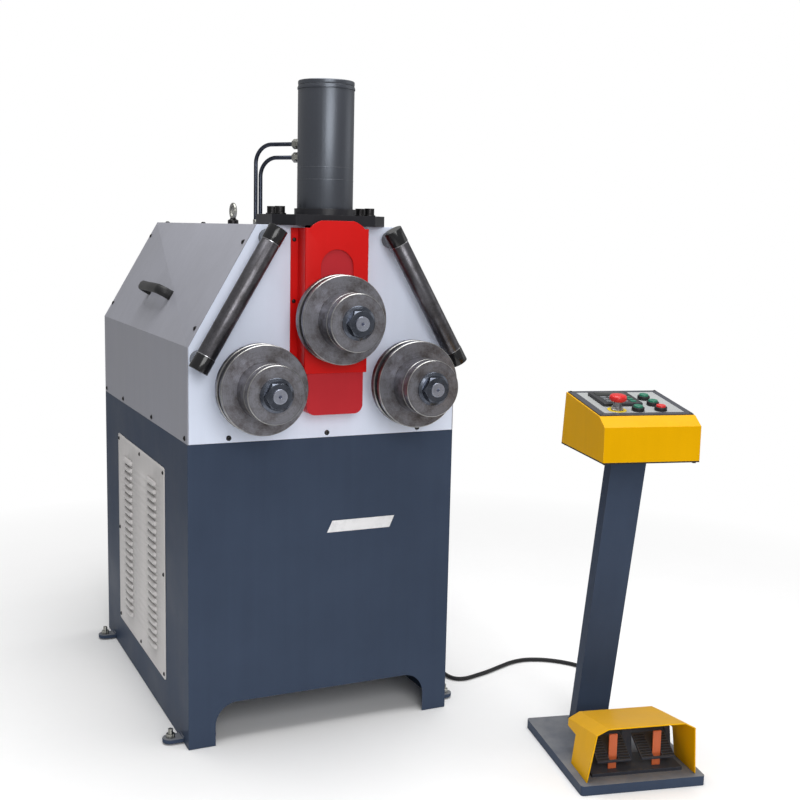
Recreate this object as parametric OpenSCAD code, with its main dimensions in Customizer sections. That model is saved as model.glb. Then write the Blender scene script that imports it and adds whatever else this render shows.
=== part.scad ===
// Hydraulic angle roll bender with its free-standing control pedestal, in millimetres.
// The machine is drawn about its middle plane X = 0, with the face of its front plate at
// Y = 0 and the floor at Z = 0, and faces -Y. The whole set is then moved so that the
// origin lies on the floor under the middle of its outline.

/* [Cabinet] */
// Width of the cabinet and of the housing above it
cabinet_w = 700; // [660:5:760]
// Depth of the cabinet from front to back
cabinet_d = 955; // [860:5:1050]
// Height of the cabinet
cabinet_h = 755; // [735:5:775]
// Thickness of the cabinet and cover sheet
sheet_t = 3; // [2:0.5:5]
// Thickness of the deck frame that carries the front plate
deck_t = 12; // [8:1:20]
// Width of the deck frame's rim
deck_rim = 70; // [50:5:100]
// Width of each foot beside the floor arch
foot_w = 68; // [50:2:90]
// Height of the floor arch
arch_h = 106; // [80:2:115]
// Corner radius of the floor arch
arch_r = 55; // [20:5:70]
// Height of the shelf that carries the power pack
shelf_z = 130; // [120:2:160]

/* [Floor lugs] */
// How far a lug stands out from the side
lug_reach = 49; // [40:1:60]
// Width of a lug
lug_w = 40; // [34:2:50]
// Thickness of a lug
lug_t = 10; // [6:1:14]
// Height of a lug above the floor
lug_lift = 4; // [2:1:8]
// Distance of the front lugs behind the front face
lug_front_y = 62; // [50:2:90]
// Distance of the rear lugs before the rear face
lug_rear_inset = 90; // [60:2:120]
// Diameter of a levelling screw
levelling_d = 12; // [8:1:16]
// Length of a levelling screw
levelling_l = 36; // [30:2:50]
// Width across flats of a levelling nut
levelling_nut_af = 19; // [18:1:24]
// Height of a levelling nut
levelling_nut_h = 10; // [6:1:12]

/* [Vent panels] */
// Width of a vent panel
vent_w = 550; // [480:10:620]
// Distance of a vent panel's upper edge below the cabinet's top
vent_top_gap = 98; // [80:1:120]
// Height of a vent panel's lower edge
vent_z = 97; // [90:1:110]
// Distance of a vent panel's middle behind the front face
vent_mid_y = 492; // [440:2:520]
// Thickness of a vent panel
vent_t = 2; // [1.5:0.5:3]
// Overlap of a vent panel on the side wall
vent_lap = 25; // [15:1:40]
// Least distance of the outer louvres' middles from the panel's upper and lower edge
louvre_margin = 56; // [45:1:90]
// Height from one louvre to the next
louvre_pitch = 21; // [19:0.5:22]
// Length of a louvre
louvre_l = 95; // [60:5:120]
// Distance between the two columns of louvres
louvre_spread = 280; // [220:5:320]
// Height of a louvre's mouth
louvre_h = 11; // [8:1:13]
// How far a louvre stands out
louvre_out = 7; // [5:1:9]

/* [Housing] */
// Height of the housing's upright skirt over the cabinet
skirt_h = 230; // [200:5:260]
// Height of the housing's sloped sides over the skirt
slope_h = 285; // [270:1:300]
// Width of the housing's flat top
top_w = 372; // [340:2:410]
// Thickness of the front plate
front_plate_t = 38; // [30:1:45]
// Thickness of the top plate
top_plate_t = 12; // [8:1:16]
// Gap between a pipe and the edge of its hole in the top plate
pipe_hole_gap = 0.5; // [0.3:0.1:1]

/* [Rolls] */
// Distance between the two lower roll axes
roll_span = 392; // [380:2:410]
// Height of the lower roll axes over the cabinet
lower_axis_up = 137; // [125:1:145]
// Height of the upper roll axis over the lower ones, at rest
upper_axis_up = 159; // [153:1:168]
// Diameter of the roll flanges
flange_roll_d = 212; // [180:2:220]
// Diameter of the groove between the flanges
groove_d = 150; // [120:2:170]
// Diameter of the hub rings
hub_d = 136; // [110:2:150]
// Distance of the rolls' rear faces before the front plate
roll_back_y = 59; // [57:1:66]
// Width of the rear flange ring
rear_flange_w = 18; // [12:1:24]
// Width of the groove ring
groove_w = 18; // [10:1:24]
// Width of the front flange ring
front_flange_w = 13; // [8:1:20]
// Width of the rear hub ring
rear_hub_w = 52; // [40:1:60]
// Width of the front hub ring
front_hub_w = 26; // [20:1:34]
// Size of the bevel on the rings' edges
ring_bevel = 1.5; // [0.5:0.5:3]
// Diameter of the roll shafts
shaft_d = 60; // [50:1:64]
// Diameter of the shafts' shoulder behind the rolls
shaft_shoulder_d = 76; // [70:1:78]
// Diameter of the shafts' threaded end
shaft_thread_d = 33; // [27:1:39]
// How far a shaft's end stands out of its nut
shaft_end_out = 4; // [2:1:8]
// Diameter of the lock nuts' collar
nut_collar_d = 80; // [72:1:90]
// Width of the lock nuts' collar
nut_collar_w = 8; // [5:1:12]
// Width across flats of the lock nuts
nut_af = 58; // [50:1:64]
// Width of the lock nuts' hexagon
nut_hex_w = 15; // [12:1:20]

/* [Drive] */
// Outer diameter of the shaft bushes
bush_d = 80; // [78:1:88]
// Length of a bush
bush_l = 38; // [24:1:38]
// Outer diameter of the lower bearing housings
bearing_d = 124; // [110:2:130]
// Length of the lower bearing housings behind the front plate
bearing_l = 120; // [90:5:150]
// Diameter of the roll motors
motor_d = 118; // [100:2:124]
// Length of a roll motor's body
motor_l = 110; // [80:5:140]
// Width of a roll motor's square mounting flange
motor_flange_w = 124; // [110:2:126]
// Thickness of a roll motor's mounting flange
motor_flange_t = 16; // [10:1:20]
// Length of a roll motor's port block
motor_block_l = 60; // [40:2:70]

/* [Slide] */
// Width of the slide cover's channel
slide_cover_w = 162; // [156:1:168]
// Distance of the slide cover's face before the front plate
slide_cover_y = 54; // [52:1:55]
// Distance of the slide cover's lower edge below the upper roll axis
slide_cover_drop = 131; // [111:2:151]
// Width of the slide cover's side flanges
slide_cover_flange = 18; // [14:1:24]
// Width of the slot in the slide cover
slot_w = 83; // [80:1:90]
// How far the slot's upper arch centre lies over the roll axis at the top of its travel
slot_over = 32; // [26:1:36]
// How far the slot's lower arch centre lies under the roll axis at the bottom of its travel
slot_under = 9; // [3:1:12]
// Width of the tab on the slide cover's top edge
tab_w = 92; // [70:2:110]
// Height of the tab above the housing's top
tab_rise = 12; // [6:1:20]
// Gap under the cylinder flange beside the tab
tab_gap = 6; // [4:1:10]
// Width of the carriage
carriage_w = 145; // [136:1:150]
// Distance of the carriage's lower edge below the upper roll axis
carriage_drop = 232; // [211:1:251]
// Radius of the carriage's lower corners
carriage_r = 22; // [10:1:30]
// Height of the carriage's body above the upper roll axis
carriage_rise = 98; // [70:1:104]
// Thickness of the carriage's shield
shield_t = 4; // [2:0.5:6]
// Height of the shield above the slot
shield_lap = 7; // [4:1:12]
// Width of the carriage's neck in the front plate's slot
neck_w = 120; // [100:1:124]
// Height of the neck above the carriage's lower edge
neck_lift = 60; // [50:1:80]
// Width of the carriage's guide plate behind the front plate
guide_plate_w = 190; // [170:2:196]
// Thickness of the carriage's guide plate
guide_plate_t = 28; // [20:1:34]
// Width of the guide rails
rail_w = 28; // [20:1:32]
// Depth of the rails' lip behind the guide plate
rail_lip = 20; // [12:1:24]
// Travel of the carriage down from rest
travel_down = 30; // [10:1:34]
// Travel of the carriage up from rest
travel_up = 90; // [60:1:95]

/* [Cylinder] */
// Distance of the cylinder's axis behind the front plate's face
cylinder_y = 32; // [28:1:36]
// Outer diameter of the cylinder
cylinder_d = 135; // [120:1:140]
// Bore of the cylinder
cylinder_bore = 100; // [90:1:110]
// Height of the cylinder over its flange
cylinder_h = 315; // [285:1:355]
// Height of the cylinder's end cap
cylinder_cap_h = 20; // [16:1:30]
// How far the end cap's lip stands out
cylinder_lip = 1.5; // [1:0.5:3]
// Diameter of the collar at the cylinder's foot
collar_d = 148; // [142:1:156]
// Height of the collar
collar_h = 15; // [8:1:20]
// Width of the cylinder flange
cyl_flange_w = 290; // [280:2:310]
// Thickness of the cylinder flange
cyl_flange_t = 25; // [18:1:30]
// How far the flange stands before the front plate
cyl_flange_front = 42; // [38:1:44]
// Distance of the flange's rear edge behind the front plate's face
cyl_flange_rear = 165; // [150:1:168]
// Corner cut of the flange
cyl_flange_cut = 44; // [20:1:50]
// Diameter of the piston rod
rod_d = 50; // [40:1:56]
// Height of the piston
piston_h = 40; // [30:1:50]
// Diameter of the rod's foot on the carriage
rod_foot_d = 80; // [60:1:90]
// Height of the rod's foot
rod_foot_h = 14; // [8:1:16]
// Height of the piston above the flange at rest
piston_lift = 85; // [60:1:100]
// Distance between the left and right flange bolts
flange_bolt_x = 232; // [210:2:240]
// Distance of the front flange bolts behind the front plate's face
flange_bolt_y = 28; // [20:1:30]
// Distance between the front and rear flange bolts
flange_bolt_pitch = 58; // [48:1:70]
// Diameter of the flange bolts
flange_bolt_d = 16; // [12:1:18]

/* [Pipes] */
// Outer diameter of the hydraulic pipes
pipe_d = 10; // [8:1:12]
// Direction of the pipes, from the machine's left towards its rear
pipe_angle = 52; // [48:1:56]
// Bend radius of the pipes
pipe_bend_r = 46; // [40:2:70]
// Height of the upper pipe over the cylinder's flange
upper_pipe_up = 170; // [150:1:185]
// Height of the lower pipe over the cylinder's flange
lower_pipe_up = 138; // [115:1:142]
// Distance of the upper pipe's riser from the cylinder's axis
upper_pipe_reach = 200; // [196:1:205]
// Distance of the lower pipe's riser from the cylinder's axis
lower_pipe_reach = 186; // [184:1:190]
// Width across flats of the pipe fittings
fitting_af = 22; // [18:1:24]
// Length of a pipe fitting
fitting_l = 22; // [16:1:26]

/* [Guide bars] */
// Diameter of the guide bars
guide_bar_d = 46; // [38:1:50]
// Length of a guide bar with its ends
guide_bar_l = 379; // [340:1:390]
// Lean of the guide bars from upright
guide_bar_lean = 30.4; // [28:0.1:32]
// Distance of the bars' upper ends from the middle plane
guide_bar_top_x = 145; // [140:1:150]
// Distance of the bars' upper ends below the housing's top
guide_bar_drop = 8; // [6:1:20]
// Distance of the bars' axes before the front plate
guide_bar_y = 45; // [40:1:50]
// Diameter of the bars' end pieces
bar_end_d = 48; // [40:1:52]
// Length of the bars' end pieces
bar_end_l = 37; // [32:1:44]
// Diameter of the bosses that carry the end pieces
bar_boss_d = 41; // [34:1:44]
// Distance of the bosses from the bars' ends
bar_boss_inset = 26; // [22:1:28]

/* [Lifting eyes] */
// Distance between the lifting eyes
eye_spread = 256; // [220:2:280]
// Distance of the lifting eyes behind the front plate's face
eye_y = 363; // [320:1:420]
// Outer diameter of an eye's ring
eye_d = 45; // [40:1:54]
// Opening of an eye's ring
eye_bore = 25; // [20:1:30]
// Diameter of an eye's foot
eye_foot_d = 28; // [24:1:32]
// Height of an eye's foot
eye_foot_h = 15; // [12:1:18]

/* [Cover handles] */
// Length of a handle
handle_l = 230; // [180:5:260]
// Height of a handle over its cover
handle_h = 42; // [36:1:50]
// Width of a handle
handle_w = 28; // [20:1:34]
// Thickness of a handle's bow
handle_t = 14; // [10:1:14]
// Corner radius of a handle's bow
handle_r = 18; // [15:1:18]
// Distance of the handles up the slope from the shoulder
handle_up = 112; // [90:1:160]

/* [Power pack] */
// Width of the oil tank
tank_w = 420; // [320:10:480]
// Depth of the oil tank
tank_d = 480; // [400:10:560]
// Height of the oil tank
tank_h = 230; // [180:10:250]
// Diameter of the pump motor
pump_motor_d = 170; // [140:5:190]
// Length of the pump motor
pump_motor_l = 240; // [200:5:260]

/* [Cable] */
// Diameter of the control cable
cable_d = 11; // [9:0.5:12]
// Diameter of the cable glands
gland_d = 26; // [22:1:30]
// Length of a cable gland outside its wall
gland_l = 30; // [24:1:36]

/* [Pedestal] */
// Place of the pedestal's datum point from the machine's middle plane
pedestal_x = 557; // [540:1:580]
// Distance of that point before the front plate's face
pedestal_y = 594; // [570:1:620]
// Turn of the pedestal towards the machine
pedestal_turn = -12.4; // [-14:0.2:-10]
// Width of the pedestal's base
pedestal_w = 306; // [290:2:320]
// Depth of the pedestal's base
pedestal_d = 383; // [375:1:400]
// How far the base reaches before the pedestal's datum line
pedestal_front = 7; // [4:1:12]
// Height of the base's folded rim
pedestal_h = 23; // [18:1:26]
// Corner radius of the base
pedestal_r = 8; // [4:1:12]
// Thickness of the pedestal's sheet
pedestal_t = 3; // [2:0.5:4]
// Width of the post
post_w = 88; // [70:2:92]
// Depth of the post
post_d = 40; // [34:1:48]
// Distance of the post's foot behind the pedestal's datum line
post_foot_y = 320; // [310:1:325]
// Distance of the post's top behind the pedestal's datum line
post_top_y = 160; // [150:1:168]

/* [Control box] */
// Width of the control box
box_w = 234; // [220:2:260]
// Height of the control box's floor
box_z = 760; // [740:2:780]
// Distance of the box's front behind the pedestal's datum line
box_front_y = 45; // [35:1:55]
// Depth of the control box
box_d = 262; // [250:1:275]
// Height of the box's upright front
box_front_h = 80; // [70:1:90]
// Depth of the bevel between front and panel
box_bevel_d = 32; // [24:1:40]
// Height of the bevel
box_bevel_h = 20; // [12:1:28]
// Depth of the panel, level with the floor
box_panel_d = 212; // [205:1:216]
// Rise of the panel from front to back
box_panel_rise = 26; // [16:1:34]
// Wall of the control box
box_t = 2; // [1.5:0.5:3]
// Thickness of the panel frame and its plate
panel_t = 3; // [2:0.5:4]
// Width of the panel frame's border
panel_border = 16; // [12:1:17]
// Margin of the panel frame to the box's edges
panel_margin = 3; // [2:0.5:5]
// Width of the display unit
display_w = 98; // [80:2:104]
// Depth of the display unit
display_d = 104; // [90:2:110]
// Height of the display unit
display_h = 8; // [5:1:12]

/* [Buttons] */
// Diameter of a push button's bezel
bezel_d = 29; // [26:1:30]
// Height of a bezel
bezel_h = 9; // [6:1:12]
// Size of the bevel on a bezel's rim
bezel_edge = 1; // [0.5:0.5:2]
// Length of a button below the panel
button_tail = 8; // [6:1:14]
// Diameter of a push button
button_d = 22; // [18:1:23]
// How far a pressed button still stands out of its bezel
button_rest = 1; // [0.5:0.5:3]
// Travel of a push button
button_travel = 3; // [2:0.5:3.5]
// Diameter of the emergency stop's head
estop_d = 40; // [34:1:44]
// Height of the emergency stop's head
estop_head_h = 16; // [12:1:18]
// Diameter of the emergency stop's stem
estop_stem_d = 20; // [16:1:22]
// Gap between the emergency stop's collar and its pressed head
estop_gap = 7; // [3:1:11]
// Travel of the emergency stop
estop_travel = 5; // [4:0.5:6]

/* [Pedals] */
// Width of the pedal guard at its floor
guard_w = 272; // [262:2:276]
// Width of the guard at its upper bends
guard_bend_w = 244; // [236:2:250]
// Width of the guard's flat top
guard_top_w = 188; // [160:2:200]
// Height of the guard's upper bends over the pedestal's base
guard_bend_h = 115; // [108:1:122]
// Height of the guard's top over the pedestal's base
guard_h = 129; // [126:1:136]
// Depth of the guard
guard_d = 142; // [132:1:150]
// Fall of the guard's top towards its rear, in degrees
guard_fall = 10.5; // [8:0.5:12]
// Distance of the guard's front foot behind the pedestal's datum line
guard_y = 8; // [4:1:12]
// Lean of the guard's front edge forwards, in degrees
guard_lean = 7; // [4:0.5:9]
// Depth of the guard's sides at the floor
guard_side_d = 104; // [90:1:120]
// Height of the cut in the guard behind its sides
guard_cut_h = 70; // [50:1:80]
// Wall of the guard
guard_t = 3; // [2:0.5:4]
// Distance between the two pedals
pedal_pitch = 110; // [104:1:116]
// Width of a pedal
pedal_w = 84; // [70:1:90]
// Length of a pedal
pedal_l = 82; // [74:1:86]
// Thickness of a pedal's plate
pedal_t = 6; // [4:1:8]
// Rise of a pedal at rest, in degrees
pedal_rise = 28; // [26:1:32]
// Travel of a pedal, in degrees
pedal_travel = 8; // [5:1:9]
// Distance of the pedals' front lips behind the pedestal's datum line
pedal_lip_y = 40; // [36:1:46]
// Height of the pedals' front lips over the pedestal's base
pedal_lip_z = 30; // [26:1:36]
// Width of a pedal's latch
latch_w = 20; // [16:1:24]
// Height of a latch
latch_h = 84; // [70:1:90]
// Thickness of a latch
latch_t = 4; // [3:0.5:5]
// Distance of a latch behind the pedestal's datum line
latch_y = 52; // [50:1:54]
// Diameter of the pedal pin
pedal_pin_d = 8; // [6:1:10]
// Height of the pedal housing's floor plate
pedal_floor_t = 8; // [6:1:10]
// Width of the pedal housing's outer cheeks
outer_cheek_w = 14; // [10:1:16]

/* [Fits] */
// Radial clearance of parts that slide or turn in each other
running_fit = 0.3; // [0.2:0.1:0.5]
// Radial clearance of rings and nuts on their shafts
seat_fit = 0.1; // [0.05:0.05:0.2]
// Gap between the carriage and what it slides past
slide_fit = 1; // [0.5:0.5:1.5]

/* [Hidden] */
$fn = 64;

// Heights over the floor
shoulder_h = cabinet_h + skirt_h;
top_h = shoulder_h + slope_h;
lower_axis_z = cabinet_h + lower_axis_up;
upper_axis_z = lower_axis_z + upper_axis_up;
slide_cover_z = upper_axis_z - slide_cover_drop;
slot_top_z = upper_axis_z + travel_up + slot_over;
slot_bottom_z = upper_axis_z - travel_down - slot_under;
carriage_z = upper_axis_z - carriage_drop;
guide_bar_top_z = top_h - guide_bar_drop;
flange_top_z = top_h + cyl_flange_t;
cylinder_top_z = flange_top_z + cylinder_h;
upper_pipe_z = flange_top_z + upper_pipe_up;
lower_pipe_z = flange_top_z + lower_pipe_up;

// Vent panels: their height, and as many louvres as it takes
vent_h = cabinet_h - vent_z - vent_top_gap;
louvre_rows = floor((vent_h - 2 * louvre_margin) / louvre_pitch) + 1;

// Lean of the housing's sloped sides from upright
cover_lean = atan((cabinet_w - top_w) / 2 / slope_h);

// Stations along the roll shafts, from the front plate's face towards the front
roll_front_y = roll_back_y + rear_flange_w + groove_w + front_flange_w + rear_hub_w + front_hub_w;
nut_front_y = roll_front_y + nut_collar_w + nut_hex_w;
shaft_front_y = nut_front_y + shaft_end_out;
lower_shaft_rear_y = front_plate_t + bearing_l + motor_flange_t / 2;
guide_plate_y = front_plate_t + slide_fit;
carriage_rear_y = guide_plate_y + guide_plate_t;
upper_shaft_rear_y = carriage_rear_y + motor_flange_t / 2;

// Heights of the slide
carriage_top_z = upper_axis_z + carriage_rise;
shield_top_z = slot_top_z + slot_w / 2 + shield_lap;
carriage_front_y = slide_cover_y - sheet_t - slide_fit;
notch_bottom_z = carriage_z + neck_lift - travel_down - slide_fit;
piston_z = flange_top_z + piston_lift;

// Lower roll axes and the places of the pipes' risers
lower_axis_x = roll_span / 2;
function pipe_at(reach) = [-reach * cos(pipe_angle), cylinder_y + reach * sin(pipe_angle)];
pipe_places = [pipe_at(upper_pipe_reach), pipe_at(lower_pipe_reach)];
pipe_foot_h = fitting_l - pipe_d;

// Pedestal: floor of the box, slope of its panel, turn of the pedals
panel_angle = atan(box_panel_rise / box_panel_d);
panel_l = norm([box_panel_d, box_panel_rise]);
panel_front_y = box_front_y + box_bevel_d;
panel_front_z = box_z + box_front_h + box_bevel_h;
plate_w = box_w - 2 * (panel_margin + panel_border);
plate_l = panel_l - 2 * (panel_margin + panel_border);
post_slope = (post_foot_y - post_top_y) / (box_z - pedestal_h);
pedal_pin_y = pedal_lip_y + pedal_l * cos(pedal_rise);
pedal_pin_z = pedestal_h + pedal_lip_z + pedal_l * sin(pedal_rise);

// Places of the push buttons on the panel, from its middle and its front edge
rear_button_at = [46, 130];
middle_button_at = [46, 78];
red_button_at = [46, 34];
front_button_at = [-10, 34];
estop_at = [-58, 42];
display_at = [-30, 122];

// Glands: the cabinet's right side and the post's rear
cabinet_gland_y = 262;
cabinet_gland_z = 60;
post_gland_z = 60;
post_gland_y = post_foot_y + post_d - (post_gland_z - pedestal_h) * post_slope;

// A point of the pedestal's plan in the machine's frame
function turned(p, a) = [p.x * cos(a) - p.y * sin(a), p.x * sin(a) + p.y * cos(a)];
function pedestal_point(p) = [pedestal_x, -pedestal_y] + turned(p, pedestal_turn);

// Route of the control cable over the floor, from the cabinet's gland to the post's gland
cable_core_d = cable_d * 0.6;
post_gland_end = pedestal_point([0, post_gland_y + gland_l]);
cable_route = [
    [cabinet_w / 2 + gland_l, cabinet_gland_y, cabinet_gland_z],
    [400, 261, 59], [418, 256, 51], [431, 245, 38], [439, 229, 25], [444, 208, 15],
    [449, 184, 8], [457, 162, 6], [470, 148, 6], [490, 143, 6], [514, 147, 6], [543, 155, 6],
    [574, 164, 6], [608, 177, 6], [641, 190, 6], [672, 201, 6], [702, 206, 6], [731, 204, 6],
    [757, 195, 6], [782, 181, 6], [805, 162, 6], [825, 140, 6], [841, 116, 6], [851, 90, 6],
    [852, 62, 6], [844, 35, 6], [829, 8, 6], [809, -19, 6], [787, -43, 6], [763, -67, 6],
    [739, -92, 8], [714, -119, 15], [690, -142, 27], [670, -161, 41], [654, -180, 53], [644, -200, 59],
    [post_gland_end.x, post_gland_end.y, post_gland_z]
];
cable_ring_fn = 10;

// Outline of the whole set without the cable, which sets the origin
set_left = -cabinet_w / 2 - lug_reach;
corner_x = pedestal_w / 2 - pedestal_r;
set_right = pedestal_point([corner_x, pedestal_d - pedestal_front - pedestal_r]).x + pedestal_r;
set_front = pedestal_point([corner_x, pedestal_r - pedestal_front]).y - pedestal_r;
set_rear = cabinet_d;
origin = [(set_left + set_right) / 2, (set_front + set_rear) / 2];

paint_dark = "#3e485c";
paint_grey = "#969296";
paint_white = "#cdd4e6";
paint_red = "#de2020";
paint_crimson = "#bc3038";
paint_yellow = "#e8b000";
black = "#25252a";
steel = "#6e6c6c";
bright = "#c8c8cc";

// Frames: the machine's own, and the pedestal's with its datum line at Y = 0
module machine() {
    translate([-origin.x, -origin.y, 0]) children();
}

module pedestal() {
    machine() translate([pedestal_x, -pedestal_y, 0]) rotate(pedestal_turn) children();
}

// Frame of the control panel: X across, Y up the slope from its front edge, Z out of it
module panel() {
    pedestal() translate([0, panel_front_y, panel_front_z]) rotate([panel_angle, 0, 0]) children();
}

module both_sides() {
    children();
    mirror([1, 0, 0]) children();
}

// A cylinder along Y from front to rear, with Y growing to the rear
module rod_y(front, rear, d) {
    translate([0, front, 0]) rotate([-90, 0, 0]) cylinder(h = rear - front, d = d);
}

// A profile drawn in X and Z, extruded along Y from front to rear
module profile_xz(front, rear) {
    translate([0, rear, 0]) rotate([90, 0, 0]) linear_extrude(rear - front) children();
}

// A profile drawn in Y and Z, extruded along X over a width about the middle
module profile_yz(width) {
    translate([-width / 2, 0, 0]) rotate([90, 0, 90]) linear_extrude(width) children();
}

module rounded_rectangle(w, h, r) {
    translate([-w / 2 + r, -h / 2]) square([w - 2 * r, h]);
    translate([-w / 2, -h / 2 + r]) square([w, h - 2 * r]);
    for (x = [-1, 1], y = [-1, 1]) translate([x * (w / 2 - r), y * (h / 2 - r)]) circle(r);
}

// A hexagonal prism along Z, given across its flats
module hexagon(af, h) {
    cylinder(h = h, d = af / cos(30), $fn = 6);
}

// Cabinet
module foot_arch() {
    w = cabinet_w - 2 * foot_w;
    translate([-w / 2, -1]) square([w, arch_h - arch_r + 1]);
    translate([-w / 2 + arch_r, 0]) square([w - 2 * arch_r, arch_h]);
    both_sides() translate([w / 2 - arch_r, arch_h - arch_r]) circle(arch_r);
}

module lug_outline() {
    square_l = lug_reach - lug_w / 2;
    translate([seat_fit, -lug_w / 2]) square([square_l - seat_fit, lug_w]);
    translate([square_l, 0]) circle(lug_w / 2);
}

// Puts its children at the root of each floor lug, X pointing out of the machine
module at_lugs() {
    both_sides() for (y = [lug_front_y, cabinet_d - lug_rear_inset]) {
        translate([cabinet_w / 2, y, 0]) children();
    }
}

module base_cabinet() color(paint_dark) machine() difference() {
    translate([-cabinet_w / 2, 0, 0]) cube([cabinet_w, cabinet_d, cabinet_h]);
    translate([-cabinet_w / 2 + sheet_t, sheet_t, -1])
        cube([cabinet_w - 2 * sheet_t, cabinet_d - 2 * sheet_t, cabinet_h - deck_t + 1]);
    translate([-cabinet_w / 2 + deck_rim, deck_rim, 0])
        cube([cabinet_w - 2 * deck_rim, cabinet_d - 2 * deck_rim, cabinet_h + 1]);
    profile_xz(-1, cabinet_d + 1) foot_arch();
    translate([-cabinet_w / 2 - 1, vent_mid_y - vent_w / 2 + vent_lap, vent_z + vent_lap])
        cube([cabinet_w + 2, vent_w - 2 * vent_lap, vent_h - 2 * vent_lap]);
    translate([0, cabinet_gland_y, cabinet_gland_z]) rotate([0, 90, 0])
        cylinder(h = cabinet_w, d = cable_core_d);
}

module floor_lugs() color(paint_dark) machine() at_lugs()
    translate([0, 0, lug_lift]) linear_extrude(lug_t) difference() {
        lug_outline();
        translate([lug_reach - lug_w / 2, 0]) circle(d = levelling_d + 2 * seat_fit);
    }

module cabinet_shelf() color(paint_dark) machine() {
    translate([-cabinet_w / 2 + sheet_t, sheet_t, shelf_z - sheet_t])
        cube([cabinet_w - 2 * sheet_t, cabinet_d - 2 * sheet_t, sheet_t]);
}

module levelling_screws() color(bright) machine() at_lugs() translate([lug_reach - lug_w / 2, 0, 0]) {
    cylinder(h = levelling_l, d = levelling_d);
    translate([0, 0, lug_lift + lug_t]) hexagon(levelling_nut_af, levelling_nut_h);
}

// Vent panel on the machine's right side: a plate with two columns of pressed louvres
module louvre_hood() {
    profile_yz_flap = [[0, louvre_h / 2], [louvre_out, -louvre_h / 2],
        [louvre_out - vent_t, -louvre_h / 2], [0, louvre_h / 2 - vent_t * louvre_h / louvre_out]];
    rotate([90, 0, 0]) {
        translate([0, 0, -louvre_l / 2]) linear_extrude(louvre_l) polygon(profile_yz_flap);
        for (z = [-louvre_l / 2, louvre_l / 2 - vent_t]) translate([0, 0, z]) linear_extrude(vent_t)
            polygon([[0, louvre_h / 2], [louvre_out, -louvre_h / 2], [0, -louvre_h / 2]]);
    }
}

module at_louvres() {
    first_z = vent_z + vent_h / 2 - (louvre_rows - 1) / 2 * louvre_pitch;
    for (side = [-1, 1], row = [0 : louvre_rows - 1]) {
        translate([cabinet_w / 2, vent_mid_y + side * louvre_spread / 2, first_z + row * louvre_pitch])
            children();
    }
}

module vent_panel() {
    difference() {
        translate([cabinet_w / 2, vent_mid_y - vent_w / 2, vent_z]) cube([vent_t, vent_w, vent_h]);
        at_louvres() translate([-1, -louvre_l / 2 + vent_t, -louvre_h / 2])
            cube([vent_t + 2, louvre_l - 2 * vent_t, louvre_h - vent_t * louvre_h / louvre_out]);
    }
    at_louvres() translate([vent_t, 0, 0]) louvre_hood();
}

module right_vent_panel() color(paint_grey) machine() vent_panel();

module left_vent_panel() color(paint_grey) machine() mirror([1, 0, 0]) vent_panel();

// Outline of the housing's section, drawn in by an inset
module housing_outline(inset) {
    half_w = cabinet_w / 2 - inset;
    half_top = top_w / 2 - inset / cos(cover_lean);
    bend_z = shoulder_h - inset * tan(cover_lean / 2);
    polygon([[-half_w, cabinet_h], [half_w, cabinet_h], [half_w, bend_z],
        [half_top, top_h], [-half_top, top_h], [-half_w, bend_z]]);
}

module front_plate() color(paint_white) machine() difference() {
    profile_xz(0, front_plate_t) housing_outline(sheet_t);
    translate([-neck_w / 2 - slide_fit, -1, notch_bottom_z])
        cube([neck_w + 2 * slide_fit, front_plate_t + 2, top_h]);
    both_sides() translate([lower_axis_x, 0, lower_axis_z]) rod_y(-1, front_plate_t + 1, bush_d);
}

// Bent sheet over the machine's right side: an upright skirt and a sloped side
module upper_cover() {
    intersection() {
        difference() {
            profile_xz(0, cabinet_d) housing_outline(0);
            profile_xz(-1, cabinet_d + 1) housing_outline(sheet_t);
        }
        translate([top_w / 2 - sheet_t / cos(cover_lean), -1, 0]) cube([cabinet_w, cabinet_d + 2, top_h + 1]);
    }
}

module right_upper_cover() color(paint_grey) machine() upper_cover();

module left_upper_cover() color(paint_grey) machine() mirror([1, 0, 0]) upper_cover();

module top_plate() color(paint_grey) machine() difference() {
    profile_xz(front_plate_t, cabinet_d - sheet_t) intersection() {
        housing_outline(sheet_t);
        translate([-cabinet_w / 2, top_h - top_plate_t]) square([cabinet_w, top_plate_t]);
    }
    translate([-neck_w / 2 - slide_fit, 0, top_h - top_plate_t - 1])
        cube([neck_w + 2 * slide_fit, cylinder_y + rod_foot_d / 2 + slide_fit, top_plate_t + 2]);
    for (p = pipe_places) translate([p.x, p.y, 0]) cylinder(h = top_h + 1, d = pipe_d + 2 * pipe_hole_gap);
}

module rear_cover() color(paint_grey) machine()
    profile_xz(cabinet_d - sheet_t, cabinet_d) housing_outline(sheet_t);

// Slide: the fixed cover, the rails and the moving carriage
module slide_slot() {
    translate([-slot_w / 2, slot_bottom_z]) square([slot_w, slot_top_z - slot_bottom_z]);
    for (z = [slot_bottom_z, slot_top_z]) translate([0, z]) circle(slot_w / 2);
}

module slide_cover() color(paint_red) machine() {
    half_w = slide_cover_w / 2;
    cover_top_z = top_h - tab_gap;
    translate([0, 0, slide_cover_z]) linear_extrude(cover_top_z - slide_cover_z) both_sides() {
        translate([half_w - sheet_t, -sheet_t]) square([slide_cover_flange + sheet_t, sheet_t]);
        translate([half_w - sheet_t, -slide_cover_y]) square([sheet_t, slide_cover_y]);
    }
    difference() {
        profile_xz(-slide_cover_y, -slide_cover_y + sheet_t) {
            translate([-half_w, slide_cover_z]) square([slide_cover_w, cover_top_z - slide_cover_z]);
            polygon([[-half_w, cover_top_z], [half_w, cover_top_z],
                [tab_w / 2, top_h + tab_rise], [-tab_w / 2, top_h + tab_rise]]);
        }
        profile_xz(-slide_cover_y - 1, 0) slide_slot();
    }
}

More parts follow.
